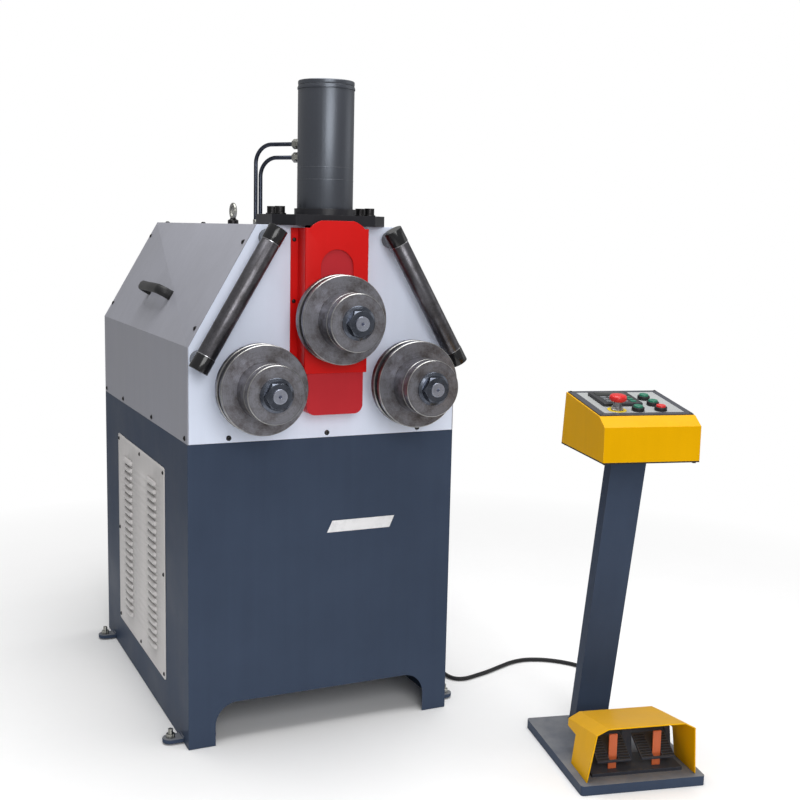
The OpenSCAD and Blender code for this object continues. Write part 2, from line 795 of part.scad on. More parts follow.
module slide_rails() color(steel) machine() {
    inner_x = guide_plate_w / 2 + slide_fit;
    rear_y = carriage_rear_y + slide_fit;
    translate([0, 0, notch_bottom_z]) linear_extrude(top_h - top_plate_t - notch_bottom_z) both_sides() {
        translate([inner_x, front_plate_t]) square([rail_w, rear_y - front_plate_t]);
        translate([inner_x - rail_lip, rear_y]) square([rail_w + rail_lip, rail_lip]);
    }
}

// Front face of the carriage: a plate with rounded lower corners
module carriage_face(top_z) {
    half_w = carriage_w / 2;
    translate([-half_w, carriage_z + carriage_r]) square([carriage_w, top_z - carriage_z - carriage_r]);
    translate([-half_w + carriage_r, carriage_z]) square([carriage_w - 2 * carriage_r, carriage_r]);
    both_sides() translate([half_w - carriage_r, carriage_z + carriage_r]) circle(carriage_r);
}

module carriage() color(paint_crimson) machine() difference() {
    union() {
        profile_xz(-carriage_front_y, -slide_fit - sheet_t) carriage_face(carriage_top_z);
        profile_xz(-carriage_front_y, -carriage_front_y + shield_t) carriage_face(shield_top_z);
        translate([-neck_w / 2, -slide_fit - sheet_t - 1, carriage_z + neck_lift])
            cube([neck_w, guide_plate_y + slide_fit + sheet_t + 2, carriage_top_z - carriage_z - neck_lift]);
        translate([-guide_plate_w / 2, guide_plate_y, carriage_z + neck_lift])
            cube([guide_plate_w, guide_plate_t, carriage_top_z - carriage_z - neck_lift]);
    }
    translate([0, 0, upper_axis_z]) rod_y(-carriage_front_y - 1, carriage_rear_y + 1, bush_d);
}

// Roll shafts, rings and nuts, drawn on their own axis; the shoulder ends before its bearing
module roll_shaft(bearing_y, rear_y) {
    difference() {
        union() {
            rod_y(-shaft_front_y, rear_y, shaft_thread_d);
            rod_y(-roll_front_y, rear_y, shaft_d);
            rod_y(-roll_back_y, bearing_y - slide_fit, shaft_shoulder_d);
        }
        translate([0, -shaft_front_y, 0]) rotate([-90, 0, 0])
            cylinder(h = shaft_thread_d / 4, d1 = shaft_thread_d / 4, d2 = 0);
    }
}

// A ring along Y with bevelled edges, from its front face back over its width
module roll_ring(front_y, width, d) {
    bore_r = shaft_d / 2 + seat_fit;
    b = ring_bevel;
    translate([0, -front_y, 0]) rotate([-90, 0, 0]) rotate_extrude()
        polygon([[bore_r, 0], [d / 2 - b, 0], [d / 2, b], [d / 2, width - b], [d / 2 - b, width], [bore_r, width]]);
}

module roll_rings() {
    rear_front_y = roll_back_y + rear_flange_w;
    groove_front_y = rear_front_y + groove_w;
    flange_front_y = groove_front_y + front_flange_w;
    hub_front_y = flange_front_y + rear_hub_w;
    roll_ring(rear_front_y, rear_flange_w, flange_roll_d);
    roll_ring(groove_front_y, groove_w, groove_d);
    roll_ring(flange_front_y, front_flange_w, flange_roll_d);
    roll_ring(hub_front_y, rear_hub_w, hub_d);
    roll_ring(hub_front_y + front_hub_w, front_hub_w, hub_d);
}

module lock_nut() {
    bore_d = shaft_thread_d + 2 * seat_fit;
    translate([0, -roll_front_y, 0]) rotate([90, 0, 0]) difference() {
        union() {
            cylinder(h = nut_collar_w / 2, d = nut_collar_d);
            translate([0, 0, nut_collar_w / 2])
                cylinder(h = nut_collar_w / 2, d1 = nut_collar_d, d2 = nut_af / cos(30));
            translate([0, 0, nut_collar_w]) intersection() {
                hexagon(nut_af, nut_hex_w);
                cylinder(h = nut_hex_w, d1 = nut_af / cos(30) + nut_hex_w, d2 = nut_af);
            }
        }
        translate([0, 0, -1]) cylinder(h = nut_collar_w + nut_hex_w + 2, d = bore_d);
    }
}

module at_left_roll() machine() translate([-lower_axis_x, 0, lower_axis_z]) children();

module at_right_roll() machine() translate([lower_axis_x, 0, lower_axis_z]) children();

module at_upper_roll() machine() translate([0, 0, upper_axis_z]) children();

module left_shaft() color(bright) at_left_roll() roll_shaft(0, lower_shaft_rear_y);
module left_roll_rings() color(steel) at_left_roll() roll_rings();
module left_lock_nut() color(black) at_left_roll() lock_nut();
module right_shaft() color(bright) at_right_roll() roll_shaft(0, lower_shaft_rear_y);
module right_roll_rings() color(steel) at_right_roll() roll_rings();
module right_lock_nut() color(black) at_right_roll() lock_nut();
module upper_shaft() color(bright) at_upper_roll() roll_shaft(-carriage_front_y, upper_shaft_rear_y);
module upper_roll_rings() color(steel) at_upper_roll() roll_rings();
module upper_lock_nut() color(black) at_upper_roll() lock_nut();

// Bearings and roll motors
module bush(front_y) {
    difference() {
        rod_y(front_y, front_y + bush_l, bush_d);
        rod_y(front_y - 1, front_y + bush_l + 1, shaft_d + 2 * running_fit);
    }
}

module lower_bushes() color("#b08d4a") {
    at_left_roll() lower_bush_pair();
    at_right_roll() lower_bush_pair();
}

module lower_bush_pair() {
    bush(0);
    bush(front_plate_t + bearing_l - bush_l);
}

module upper_bushes() color("#b08d4a") at_upper_roll() {
    bush(-carriage_front_y);
    bush(carriage_rear_y - bush_l);
}

module bearing_housing() {
    difference() {
        rod_y(front_plate_t, front_plate_t + bearing_l, bearing_d);
        rod_y(front_plate_t - 1, front_plate_t + bearing_l + 1, bush_d);
    }
}

module lower_bearing_housings() color(steel) {
    at_left_roll() bearing_housing();
    at_right_roll() bearing_housing();
}

// A hydraulic motor: square flange, round body and a rear block with its two ports
module roll_motor(front_y) {
    half = motor_flange_w / 2;
    body_y = front_y + motor_flange_t;
    difference() {
        union() {
            translate([-half, front_y, -half]) cube([motor_flange_w, motor_flange_t, motor_flange_w]);
            rod_y(body_y, body_y + motor_l, motor_d);
            translate([-motor_d / 4, body_y + motor_l, -motor_d / 4])
                cube([motor_d / 2, motor_block_l, motor_d / 2]);
        }
        rod_y(front_y - 1, front_y + motor_flange_t - 1, shaft_d + 2 * running_fit);
        for (z = [-1, 1]) translate([0, body_y + motor_l + motor_block_l / 2, z * motor_d / 4])
            cylinder(h = motor_d / 8, d = fitting_af, center = true);
    }
}

module lower_roll_motors() color(black) {
    at_left_roll() roll_motor(front_plate_t + bearing_l);
    at_right_roll() roll_motor(front_plate_t + bearing_l);
}

module upper_roll_motor() color(black) at_upper_roll() roll_motor(carriage_rear_y);

// Cylinder
module flange_outline() {
    half_w = cyl_flange_w / 2;
    c = cyl_flange_cut;
    front = -cyl_flange_front;
    rear = cyl_flange_rear;
    polygon([[-half_w + c, front], [half_w - c, front], [half_w, front + c], [half_w, rear - c],
        [half_w - c, rear], [-half_w + c, rear], [-half_w, rear - c], [-half_w, front + c]]);
}

module at_flange_bolts() {
    both_sides() for (y = [0, flange_bolt_pitch]) {
        translate([flange_bolt_x / 2, flange_bolt_y + y, flange_top_z]) children();
    }
}

module cylinder_flange() color(black) machine() difference() {
    union() {
        translate([0, 0, top_h]) linear_extrude(cyl_flange_t) flange_outline();
        translate([0, cylinder_y, flange_top_z]) cylinder(h = collar_h, d = collar_d);
    }
    translate([0, cylinder_y, top_h - 1]) cylinder(h = cyl_flange_t + 2, d = rod_d + 2 * running_fit);
    translate([0, cylinder_y, flange_top_z]) cylinder(h = collar_h + 1, d = cylinder_d);
    at_flange_bolts() translate([0, 0, -cyl_flange_t - 1])
        cylinder(h = cyl_flange_t + 2, d = flange_bolt_d + 2 * seat_fit);
}

// Socket-head screws with their washers, as long as the flange is thick
module flange_bolts() color(black) machine() at_flange_bolts() {
    washer_t = flange_bolt_d / 5;
    translate([0, 0, -cyl_flange_t]) cylinder(h = cyl_flange_t, d = flange_bolt_d);
    cylinder(h = washer_t, d = flange_bolt_d * 1.85);
    translate([0, 0, washer_t]) difference() {
        cylinder(h = flange_bolt_d, d = flange_bolt_d * 1.5);
        translate([0, 0, flange_bolt_d / 2]) hexagon(flange_bolt_d * 0.875, flange_bolt_d);
    }
}

module at_cylinder() machine() translate([0, cylinder_y, 0]) children();

module cylinder_barrel() color(black) at_cylinder() difference() {
    barrel_h = cylinder_top_z - cylinder_cap_h - flange_top_z;
    translate([0, 0, flange_top_z]) cylinder(h = barrel_h, d = cylinder_d);
    translate([0, 0, flange_top_z - 1]) cylinder(h = barrel_h + 2, d = cylinder_bore);
}

module cylinder_cap() color(black) at_cylinder() translate([0, 0, cylinder_top_z - cylinder_cap_h]) {
    r = cylinder_d / 2;
    lip_h = cylinder_cap_h / 4;
    groove_z = cylinder_cap_h / 2;
    rotate_extrude() polygon([[0, 0], [r + cylinder_lip, 0], [r + cylinder_lip, lip_h], [r, lip_h],
        [r, groove_z - cylinder_lip], [r - cylinder_lip, groove_z], [r, groove_z + cylinder_lip],
        [r, cylinder_cap_h - cylinder_lip], [r - cylinder_lip, cylinder_cap_h], [0, cylinder_cap_h]]);
}

module piston_rod() color(bright) at_cylinder() {
    translate([0, 0, carriage_top_z]) cylinder(h = rod_foot_h, d = rod_foot_d);
    translate([0, 0, carriage_top_z]) cylinder(h = piston_z - carriage_top_z, d = rod_d);
    translate([0, 0, piston_z]) cylinder(h = piston_h, d = cylinder_bore - 2 * running_fit);
}

// Pipes: straight out of the cylinder, round a bend and down through the top plate
module hydraulic_pipe(z, reach) {
    port = cylinder_d / 2 + fitting_l;
    rotate(180 - pipe_angle) {
        translate([port, 0, z]) rotate([0, 90, 0]) cylinder(h = reach - pipe_bend_r - port, d = pipe_d);
        translate([reach - pipe_bend_r, 0, z - pipe_bend_r]) rotate([90, 0, 0])
            rotate_extrude(angle = 90) translate([pipe_bend_r, 0]) circle(d = pipe_d);
        translate([reach, 0, top_h - top_plate_t])
            cylinder(h = z - pipe_bend_r - top_h + top_plate_t, d = pipe_d);
    }
}

module hydraulic_pipes() color("#4a5060") at_cylinder() {
    hydraulic_pipe(upper_pipe_z, upper_pipe_reach);
    hydraulic_pipe(lower_pipe_z, lower_pipe_reach);
}

// Hexagon unions on the cylinder, and nuts where the pipes enter the top plate
module pipe_fittings() color(bright) at_cylinder() {
    port = cylinder_d / 2 + fitting_l;
    for (z = [upper_pipe_z, lower_pipe_z]) translate([0, 0, z]) difference() {
        rotate(180 - pipe_angle) rotate([0, 90, 0]) difference() {
            union() {
                hexagon(fitting_af * 0.8, port);
                translate([0, 0, port - fitting_l / 2]) hexagon(fitting_af, fitting_l / 2);
            }
            cylinder(h = port + 1, d = pipe_d / 2);
        }
        cylinder(h = 2 * fitting_af, d = cylinder_d + 2 * seat_fit, center = true);
    }
    for (reach = [upper_pipe_reach, lower_pipe_reach]) rotate(180 - pipe_angle) translate([reach, 0, top_h])
        difference() {
            cylinder(h = pipe_foot_h, d = fitting_af * 0.6);
            translate([0, 0, -1]) cylinder(h = pipe_foot_h + 2, d = pipe_d + 2 * seat_fit);
        }
}

module lifting_eyes() color(bright) machine() both_sides() translate([eye_spread / 2, eye_y, top_h]) {
    wire_d = (eye_d - eye_bore) / 2;
    cylinder(h = eye_foot_h, d = eye_foot_d);
    translate([0, 0, eye_foot_h + eye_d / 2 - wire_d / 2]) rotate([0, 90, 0]) rotate_extrude()
        translate([eye_bore / 2 + wire_d / 2, 0]) circle(d = wire_d);
}

// Guide bars: a round bar between two end pieces, each on a boss of the front plate
module at_guide_bar() {
    both_sides() translate([guide_bar_top_x, -guide_bar_y, guide_bar_top_z])
        rotate([0, 180 - guide_bar_lean, 0]) children();
}

module guide_bars() color("#55504e") machine() at_guide_bar()
    translate([0, 0, bar_end_l]) cylinder(h = guide_bar_l - 2 * bar_end_l, d = guide_bar_d);

module guide_bar_ends() color(black) machine() at_guide_bar() difference() {
    union() {
        for (end = [0, guide_bar_l - bar_end_l]) translate([0, 0, end]) cylinder(h = bar_end_l, d = bar_end_d);
        for (z = [bar_boss_inset, guide_bar_l - bar_boss_inset])
            translate([0, 0, z]) rod_y(0, guide_bar_y, bar_boss_d);
    }
    translate([0, 0, bar_end_l])
        cylinder(h = guide_bar_l - 2 * bar_end_l, d = guide_bar_d + 2 * seat_fit);
}

// Bow handles on the sloped covers
module handle_profile() {
    difference() {
        union() {
            translate([-handle_l / 2 + handle_r, 0]) square([handle_l - 2 * handle_r, handle_h]);
            translate([-handle_l / 2, 0]) square([handle_l, handle_h - handle_r]);
            both_sides() translate([handle_l / 2 - handle_r, handle_h - handle_r]) circle(handle_r);
        }
        inner_r = handle_r - handle_t;
        inner_l = handle_l - 2 * handle_t;
        translate([-inner_l / 2 + inner_r, -1]) square([inner_l - 2 * inner_r, handle_h - handle_t + 1]);
        translate([-inner_l / 2, -1]) square([inner_l, handle_h - handle_t - inner_r + 1]);
        both_sides() translate([inner_l / 2 - inner_r, handle_h - handle_t - inner_r]) circle(inner_r);
    }
}

module cover_handles() color(black) machine() both_sides()
    translate([cabinet_w / 2, cabinet_d / 2, shoulder_h]) rotate([0, -cover_lean, 0])
        translate([seat_fit, 0, handle_up - handle_w / 2]) rotate([0, 0, -90])
            linear_extrude(handle_w) handle_profile();

// Power pack on the shelf: tank, lid, pump motor with its fan cover, and valve block
module power_pack() color("#565a60") machine() translate([0, cabinet_d / 2, shelf_z]) {
    lid_t = sheet_t * 2;
    motor_z = tank_h + lid_t + pump_motor_d / 2 + lid_t;
    translate([-tank_w / 2, -tank_d / 2, 0]) cube([tank_w, tank_d, tank_h]);
    translate([-tank_w / 2 - lid_t, -tank_d / 2 - lid_t, tank_h]) cube([tank_w + 2 * lid_t, tank_d + 2 * lid_t, lid_t]);
    translate([-tank_w / 4, 0, motor_z]) {
        rod_y(-pump_motor_l / 2, pump_motor_l / 2, pump_motor_d);
        translate([-pump_motor_d / 3, -pump_motor_l / 4, -pump_motor_d / 2 - lid_t])
            cube([pump_motor_d * 2 / 3, pump_motor_l / 2, pump_motor_d / 2]);
    }
    translate([tank_w / 8, -tank_d / 4, tank_h + lid_t]) cube([tank_w / 4, tank_d / 2, pump_motor_d / 2]);
}

// Cable glands: a hexagon on the wall and a dome nut
module gland() {
    difference() {
        union() {
            hexagon(gland_d, gland_l / 3);
            translate([0, 0, gland_l / 3]) cylinder(h = gland_l / 3, d = gland_d * 0.9);
            translate([0, 0, gland_l * 2 / 3]) cylinder(h = gland_l / 3, d1 = gland_d * 0.9, d2 = gland_d * 0.65);
        }
        translate([0, 0, -1]) cylinder(h = gland_l + 2, d = cable_core_d);
    }
}

module cable_glands() color(black) {
    machine() translate([cabinet_w / 2, cabinet_gland_y, cabinet_gland_z]) rotate([0, 90, 0]) gland();
    pedestal() difference() {
        translate([0, post_gland_y, post_gland_z]) rotate([-90, 0, 0]) {
            gland();
            translate([0, 0, -gland_d / 4]) hexagon(gland_d, gland_d / 4);
        }
        profile_yz(post_w) post_section(-seat_fit);
    }
}

// Control cable: one tube swept along its route, every ring square to the way there
function unit(v) = v / norm(v);
function route_way(i) = unit(cable_route[min(i + 1, len(cable_route) - 1)] - cable_route[max(i - 1, 0)]);
function ring_side(way) = unit(cross([0, 0, 1], way));
function cable_ring(i) = let (way = route_way(i), side = ring_side(way), up = cross(way, side))
    [for (k = [0 : cable_ring_fn - 1]) let (a = 360 * k / cable_ring_fn)
        cable_route[i] + cable_d / 2 * (cos(a) * side + sin(a) * up)];

module control_cable() color(black) machine() {
    n = cable_ring_fn;
    last = len(cable_route) - 1;
    sides = [for (i = [0 : last - 1], k = [0 : n - 1])
        let (a = i * n + k, b = i * n + (k + 1) % n) [a, a + n, b + n, b]];
    polyhedron(
        points = [for (i = [0 : last]) each cable_ring(i)],
        faces = concat([[for (k = [0 : n - 1]) k]], sides, [[for (k = [n - 1 : -1 : 0]) last * n + k]]));
}

// Pedestal
module pedestal_base() color(paint_dark) pedestal()
    translate([0, pedestal_d / 2 - pedestal_front, 0]) difference() {
    linear_extrude(pedestal_h) rounded_rectangle(pedestal_w, pedestal_d, pedestal_r);
    translate([0, 0, -1]) linear_extrude(pedestal_h - pedestal_t + 1) rounded_rectangle(
        pedestal_w - 2 * pedestal_t, pedestal_d - 2 * pedestal_t, max(pedestal_r - pedestal_t, 0.5));
}

// Section of the post in the pedestal's middle plane, drawn in by a wall
module post_section(wall) {
    polygon([[post_foot_y + wall, pedestal_h], [post_foot_y + post_d - wall, pedestal_h],
        [post_top_y + post_d - wall, box_z], [post_top_y + wall, box_z]]);
}

module pedestal_post() color(paint_dark) pedestal() difference() {
    profile_yz(post_w) post_section(0);
    profile_yz(post_w - 2 * pedestal_t) post_section(pedestal_t);
    translate([0, post_gland_y - post_d / 2, post_gland_z]) rotate([-90, 0, 0])
        cylinder(h = post_d, d = cable_core_d);
}

// Side view of the control box, drawn in by its wall
module box_section(wall) {
    front = box_front_y + wall;
    rear = box_front_y + box_d - wall;
    panel_rear_y = panel_front_y + box_panel_d;
    polygon([[front, box_z], [rear, box_z], [panel_rear_y - wall, panel_front_z + box_panel_rise - wall],
        [panel_front_y + wall / 2, panel_front_z - wall], [front, box_z + box_front_h - wall / 2]]);
}

module control_box() color(paint_yellow) pedestal() difference() {
    profile_yz(box_w) box_section(0);
    difference() {
        profile_yz(box_w - 2 * box_t) box_section(box_t);
        translate([-box_w / 2, box_front_y, box_z]) cube([box_w, box_d, panel_t]);
    }
    translate([0, 0, box_z - 1]) linear_extrude(panel_t + 2) translate([0, box_front_y + box_d / 2])
        square([box_w - 4 * box_t, box_d - 4 * box_t], center = true);
    translate([0, panel_front_y, panel_front_z]) rotate([panel_angle, 0, 0]) {
        translate([0, panel_l / 2, 0])
            cube([plate_w - panel_border, plate_l - panel_border, 2 * button_tail], center = true);
        at_buttons() cylinder(h = 4 * button_tail, d = button_d + 2 * slide_fit, center = true);
    }
}

module box_floor() color(black) pedestal() {
    foot_d = 3 * panel_t;
    translate([-box_w / 2 + 2 * box_t + seat_fit, box_front_y + 2 * box_t + seat_fit, box_z])
        cube([box_w - 4 * box_t - 2 * seat_fit, box_d - 4 * box_t - 2 * seat_fit, panel_t]);
    translate([0, box_front_y + box_d / 2, box_z - panel_t]) linear_extrude(panel_t) difference() {
        square([box_w - 2 * seat_fit, box_d - 2 * seat_fit], center = true);
        square([box_w - 4 * box_t, box_d - 4 * box_t], center = true);
    }
    for (x = [-1, 1], y = [foot_d, box_d - foot_d])
        translate([x * (box_w / 2 - foot_d), box_front_y + y, box_z - 2 * panel_t])
            cylinder(h = 2 * panel_t, d = foot_d);
}

module panel_frame() color(black) panel() translate([0, panel_l / 2, 0]) linear_extrude(panel_t) difference() {
    square([box_w - 2 * panel_margin, panel_l - 2 * panel_margin], center = true);
    square([plate_w, plate_l], center = true);
}

module at_buttons() {
    for (p = [rear_button_at, middle_button_at, red_button_at, front_button_at])
        translate([p.x, p.y, panel_t]) children();
}

module control_panel() color("#d7d7de") panel() difference() {
    translate([-plate_w / 2 + seat_fit, (panel_l - plate_l) / 2 + seat_fit, 0])
        cube([plate_w - 2 * seat_fit, plate_l - 2 * seat_fit, panel_t]);
    at_buttons() translate([0, 0, -panel_t - 1]) cylinder(h = panel_t + 2, d = button_d + 2 * running_fit);
    translate([estop_at.x, estop_at.y, -1]) cylinder(h = panel_t + 2, d = estop_stem_d + 2 * running_fit);
}

module display_unit() color(black) panel()
    translate([display_at.x, display_at.y, panel_t]) linear_extrude(display_h)
        rounded_rectangle(display_w, display_d, display_h / 2);

// Bezels of the push buttons, and the emergency stop's collar
module button_bezels() color(black) panel() {
    inner_r = button_d / 2 + running_fit;
    outer_r = bezel_d / 2;
    at_buttons() rotate_extrude() polygon([[inner_r, 0], [outer_r, 0], [outer_r, bezel_h - bezel_edge],
        [outer_r - bezel_edge, bezel_h], [inner_r, bezel_h]]);
    translate([estop_at.x, estop_at.y, panel_t]) difference() {
        cylinder(h = bezel_h, d = bezel_d);
        translate([0, 0, -1]) cylinder(h = bezel_h + 2, d = estop_stem_d + 2 * running_fit);
    }
}

// A push button from under the panel to over its bezel
module push_button(p) {
    panel() translate([p.x, p.y, -button_tail])
        cylinder(h = button_tail + panel_t + bezel_h + button_rest + button_travel, d = button_d);
}

module rear_green_button() color("#2a6e58") push_button(rear_button_at);
module middle_green_button() color("#2a6e58") push_button(middle_button_at);
module front_green_button() color("#2a6e58") push_button(front_button_at);
module red_button() color("#c83232") push_button(red_button_at);

module emergency_stop() color("#c83232") panel() translate([estop_at.x, estop_at.y, 0]) {
    head_z = panel_t + bezel_h + estop_gap + estop_travel;
    r = estop_d / 2;
    translate([0, 0, -button_tail]) cylinder(h = button_tail + head_z, d = estop_stem_d);
    translate([0, 0, head_z]) rotate_extrude() polygon([[0, 0], [r * 0.8, 0], [r, estop_head_h * 0.4],
        [r, estop_head_h * 0.7], [r * 0.8, estop_head_h], [0, estop_head_h]]);
}

// Pedal guard: a bent sheet hood with a rear wall, its top falling to the rear and its front edge leaning out
module guard_section(wall) {
    side_lean = (guard_w - guard_bend_w) / 2 / guard_bend_h;
    foot_x = guard_w / 2 + side_lean * guard_h - wall;
    bend_x = guard_bend_w / 2 - wall;
    top_z = guard_h - wall;
    polygon([[-foot_x, -guard_h], [foot_x, -guard_h], [bend_x, guard_bend_h - wall / 2],
        [guard_top_w / 2, top_z], [-guard_top_w / 2, top_z], [-bend_x, guard_bend_h - wall / 2]]);
}

module guard_hood(front, rear, wall) {
    translate([0, guard_y, pedestal_h]) rotate([-guard_fall, 0, 0]) profile_xz(front, rear) guard_section(wall);
}

module guard_side_view() {
    rear_y = guard_y + 2 * guard_d;
    side_y = guard_y + guard_side_d;
    cut_z = pedestal_h + guard_cut_h;
    over_z = pedestal_h + 2 * guard_h;
    polygon([[guard_y, pedestal_h], [side_y, pedestal_h], [side_y, cut_z], [rear_y, cut_z], [rear_y, over_z],
        [guard_y - 2 * guard_h * tan(guard_lean), over_z]]);
}

module pedal_guard() color(paint_yellow) pedestal() intersection() {
    difference() {
        guard_hood(-guard_h, guard_d, 0);
        guard_hood(-guard_h - 1, guard_d - guard_t, guard_t);
    }
    profile_yz(2 * guard_w) guard_side_view();
}

// Upright cheek that carries the pedal pin
module pedal_cheek(wide, rear_y) {
    profile_yz(wide) polygon([[pedal_pin_y - 3 * pedal_pin_d, pedestal_h], [rear_y, pedestal_h],
        [rear_y, pedal_pin_z + pedal_pin_d], [pedal_pin_y - pedal_pin_d, pedal_pin_z + pedal_pin_d]]);
}

// Pedal housing: a floor plate with a middle cheek, two outer cheeks and the pin through them
module pedal_housing() color("#3a3d46") pedestal() {
    cheek_w = pedal_pitch - pedal_w - 2 * slide_fit;
    inner_w = pedal_pitch + pedal_w + 2 * slide_fit;
    floor_w = inner_w + 2 * outer_cheek_w;
    front_y = pedal_lip_y - pedal_floor_t;
    rear_y = pedal_pin_y + 1.5 * pedal_pin_d;
    translate([-floor_w / 2, front_y, pedestal_h]) cube([floor_w, rear_y - front_y, pedal_floor_t]);
    pedal_cheek(cheek_w, rear_y);
    both_sides() translate([(inner_w + outer_cheek_w) / 2, 0, 0]) pedal_cheek(outer_cheek_w, rear_y);
    translate([-floor_w / 2, pedal_pin_y, pedal_pin_z]) rotate([0, 90, 0]) cylinder(h = floor_w, d = pedal_pin_d);
}

module at_left_pedal() pedestal() translate([-pedal_pitch / 2, pedal_pin_y, pedal_pin_z]) children();

module at_right_pedal() pedestal() translate([pedal_pitch / 2, pedal_pin_y, pedal_pin_z]) children();

// A pedal about its pin: an eye and an inclined plate with a slot that its latch stands in
module pedal() {
    latch_front = pedal_pin_y - latch_y;
    slot_front = latch_front / cos(pedal_rise + pedal_travel) + pedal_t / 2;
    slot_rear = (latch_front - latch_t) / cos(pedal_rise) - pedal_t;
    rotate([pedal_rise, 0, 0]) difference() {
        union() {
            profile_yz(pedal_w) translate([-pedal_l, -pedal_t / 2]) square([pedal_l, pedal_t]);
            rotate([0, 90, 0]) cylinder(h = pedal_w, d = 2 * pedal_pin_d, center = true);
        }
        rotate([0, 90, 0]) cylinder(h = pedal_w + 2, d = pedal_pin_d + 2 * running_fit, center = true);
        translate([-latch_w / 2 - slide_fit, -slot_front, -pedal_t])
            cube([latch_w + 2 * slide_fit, slot_front - slot_rear, 2 * pedal_t]);
    }
}

module left_pedal() color("#3a3d46") at_left_pedal() pedal();
module right_pedal() color("#3a3d46") at_right_pedal() pedal();

// Latches: upright strips on the pedal housing's floor
module pedal_latches() color("#d76e32") pedestal() both_sides()
    translate([(pedal_pitch - latch_w) / 2, latch_y, pedestal_h + pedal_floor_t]) cube([latch_w, latch_t, latch_h]);

base_cabinet();
floor_lugs();
cabinet_shelf();
left_vent_panel();
right_vent_panel();
front_plate();
left_upper_cover();
right_upper_cover();
top_plate();
rear_cover();
slide_cover();
slide_rails();
cylinder_flange();
cylinder_barrel();
cylinder_cap();
flange_bolts();
hydraulic_pipes();
pipe_fittings();
lifting_eyes();
guide_bars();
guide_bar_ends();
lower_bearing_housings();
lower_bushes();
lower_roll_motors();
power_pack();
levelling_screws();
cover_handles();
cable_glands();
control_cable();
carriage();
piston_rod();
upper_bushes();
upper_roll_motor();
left_shaft();
left_roll_rings();
left_lock_nut();
right_shaft();
right_roll_rings();
right_lock_nut();
upper_shaft();
upper_roll_rings();
upper_lock_nut();
pedestal_base();
pedestal_post();
control_box();
box_floor();
panel_frame();
control_panel();
display_unit();
button_bezels();
emergency_stop();
rear_green_button();
middle_green_button();
front_green_button();
red_button();
pedal_guard();
pedal_housing();
left_pedal();
right_pedal();
pedal_latches();
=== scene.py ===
"""Looks of a hydraulic angle roll bender and its control pedestal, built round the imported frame."""

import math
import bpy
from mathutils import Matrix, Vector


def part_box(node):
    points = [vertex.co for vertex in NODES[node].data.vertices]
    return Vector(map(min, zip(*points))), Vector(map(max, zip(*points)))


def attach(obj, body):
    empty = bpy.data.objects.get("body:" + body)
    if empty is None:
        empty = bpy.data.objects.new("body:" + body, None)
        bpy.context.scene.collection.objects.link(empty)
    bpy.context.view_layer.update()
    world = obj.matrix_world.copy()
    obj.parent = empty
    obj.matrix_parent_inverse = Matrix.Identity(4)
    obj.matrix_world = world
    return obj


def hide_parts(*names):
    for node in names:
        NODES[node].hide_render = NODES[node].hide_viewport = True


bl_info = {
    "name": "Angle roll bender",
    "version": (1, 0, 0),
    "blender": (4, 5, 0),
    "location": "3D View > Sidebar > Bender",
    "description": "Finishes, fastenings and studio for a three-roll profile bender",
    "category": "Object",
}

import bmesh
import bpy
import numpy as np
from bpy.props import FloatProperty, FloatVectorProperty, IntProperty, PointerProperty
from mathutils import Matrix, Vector

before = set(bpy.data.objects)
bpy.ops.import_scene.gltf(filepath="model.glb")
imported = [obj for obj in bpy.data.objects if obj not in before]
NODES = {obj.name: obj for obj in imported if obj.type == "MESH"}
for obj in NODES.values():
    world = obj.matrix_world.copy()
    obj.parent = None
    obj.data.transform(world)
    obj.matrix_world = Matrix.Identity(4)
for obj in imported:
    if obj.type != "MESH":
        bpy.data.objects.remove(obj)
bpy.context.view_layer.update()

# Millimetres of the machine's own frame, whose zero is the front plate's face on the middle plane
MM = 0.001
PLATE_LOW, PLATE_HIGH = (np.array(c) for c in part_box("front_plate"))
ORIGIN = np.array([(PLATE_LOW[0] + PLATE_HIGH[0]) / 2, PLATE_LOW[1], 0.0])
CABINET_W = 700.0
CABINET_D = 955.0
SHOULDER_H = 985.0
TOP_H = 1270.0
TOP_W = 372.0
COVER_LEAN = math.atan((CABINET_W - TOP_W) / 2 / (TOP_H - SHOULDER_H))
SLOPE_UP = np.array([-math.sin(COVER_LEAN), 0.0, math.cos(COVER_LEAN)])
SLOPE_OUT = np.array([math.cos(COVER_LEAN), 0.0, math.sin(COVER_LEAN)])
PEDESTAL_AT = np.array([557.0, -594.0, 0.0])
PEDESTAL_TURN = math.radians(-12.4)
PANEL_AT = np.array([0.0, 77.0, 860.0])
PANEL_TILT = math.atan(26.0 / 212.0)
PANEL_T = 3.0
ROLLS = {"left": (-196.0, 892.0), "right": (196.0, 892.0), "upper": (0.0, 1051.0)}
X, Y, Z = np.eye(3)


# Settings: the colours, sizes and lights that a user may change

def srgb(red, green, blue):
    """A colour given as 0 to 255 on a screen, as the linear values that shaders take."""
    c = np.array([red, green, blue]) / 255.0
    linear = np.where(c <= 0.04045, c / 12.92, ((c + 0.055) / 1.055) ** 2.4)
    return tuple(float(v) for v in linear)


def colour_property(name, description, default):
    """A colour swatch with its screen values as the default."""
    return FloatVectorProperty(name=name, description=description, subtype="COLOR", size=3,
                               min=0.0, max=1.0, default=srgb(*default))


def length_property(name, description, default, low, high):
    """A length with its limits, in metres."""
    return FloatProperty(name=name, description=description, unit="LENGTH", subtype="DISTANCE", precision=4,
                         default=default, min=low, max=high)


def power_property(name, description, default):
    """A lamp's power, in watts."""
    return FloatProperty(name=name, description=description, unit="POWER", default=default, min=0.0)


def strength_property(name, description, default):
    """A strength of the room, from none to twice white."""
    return FloatProperty(name=name, description=description, subtype="FACTOR", default=default, min=0.0,
                         max=2.0)


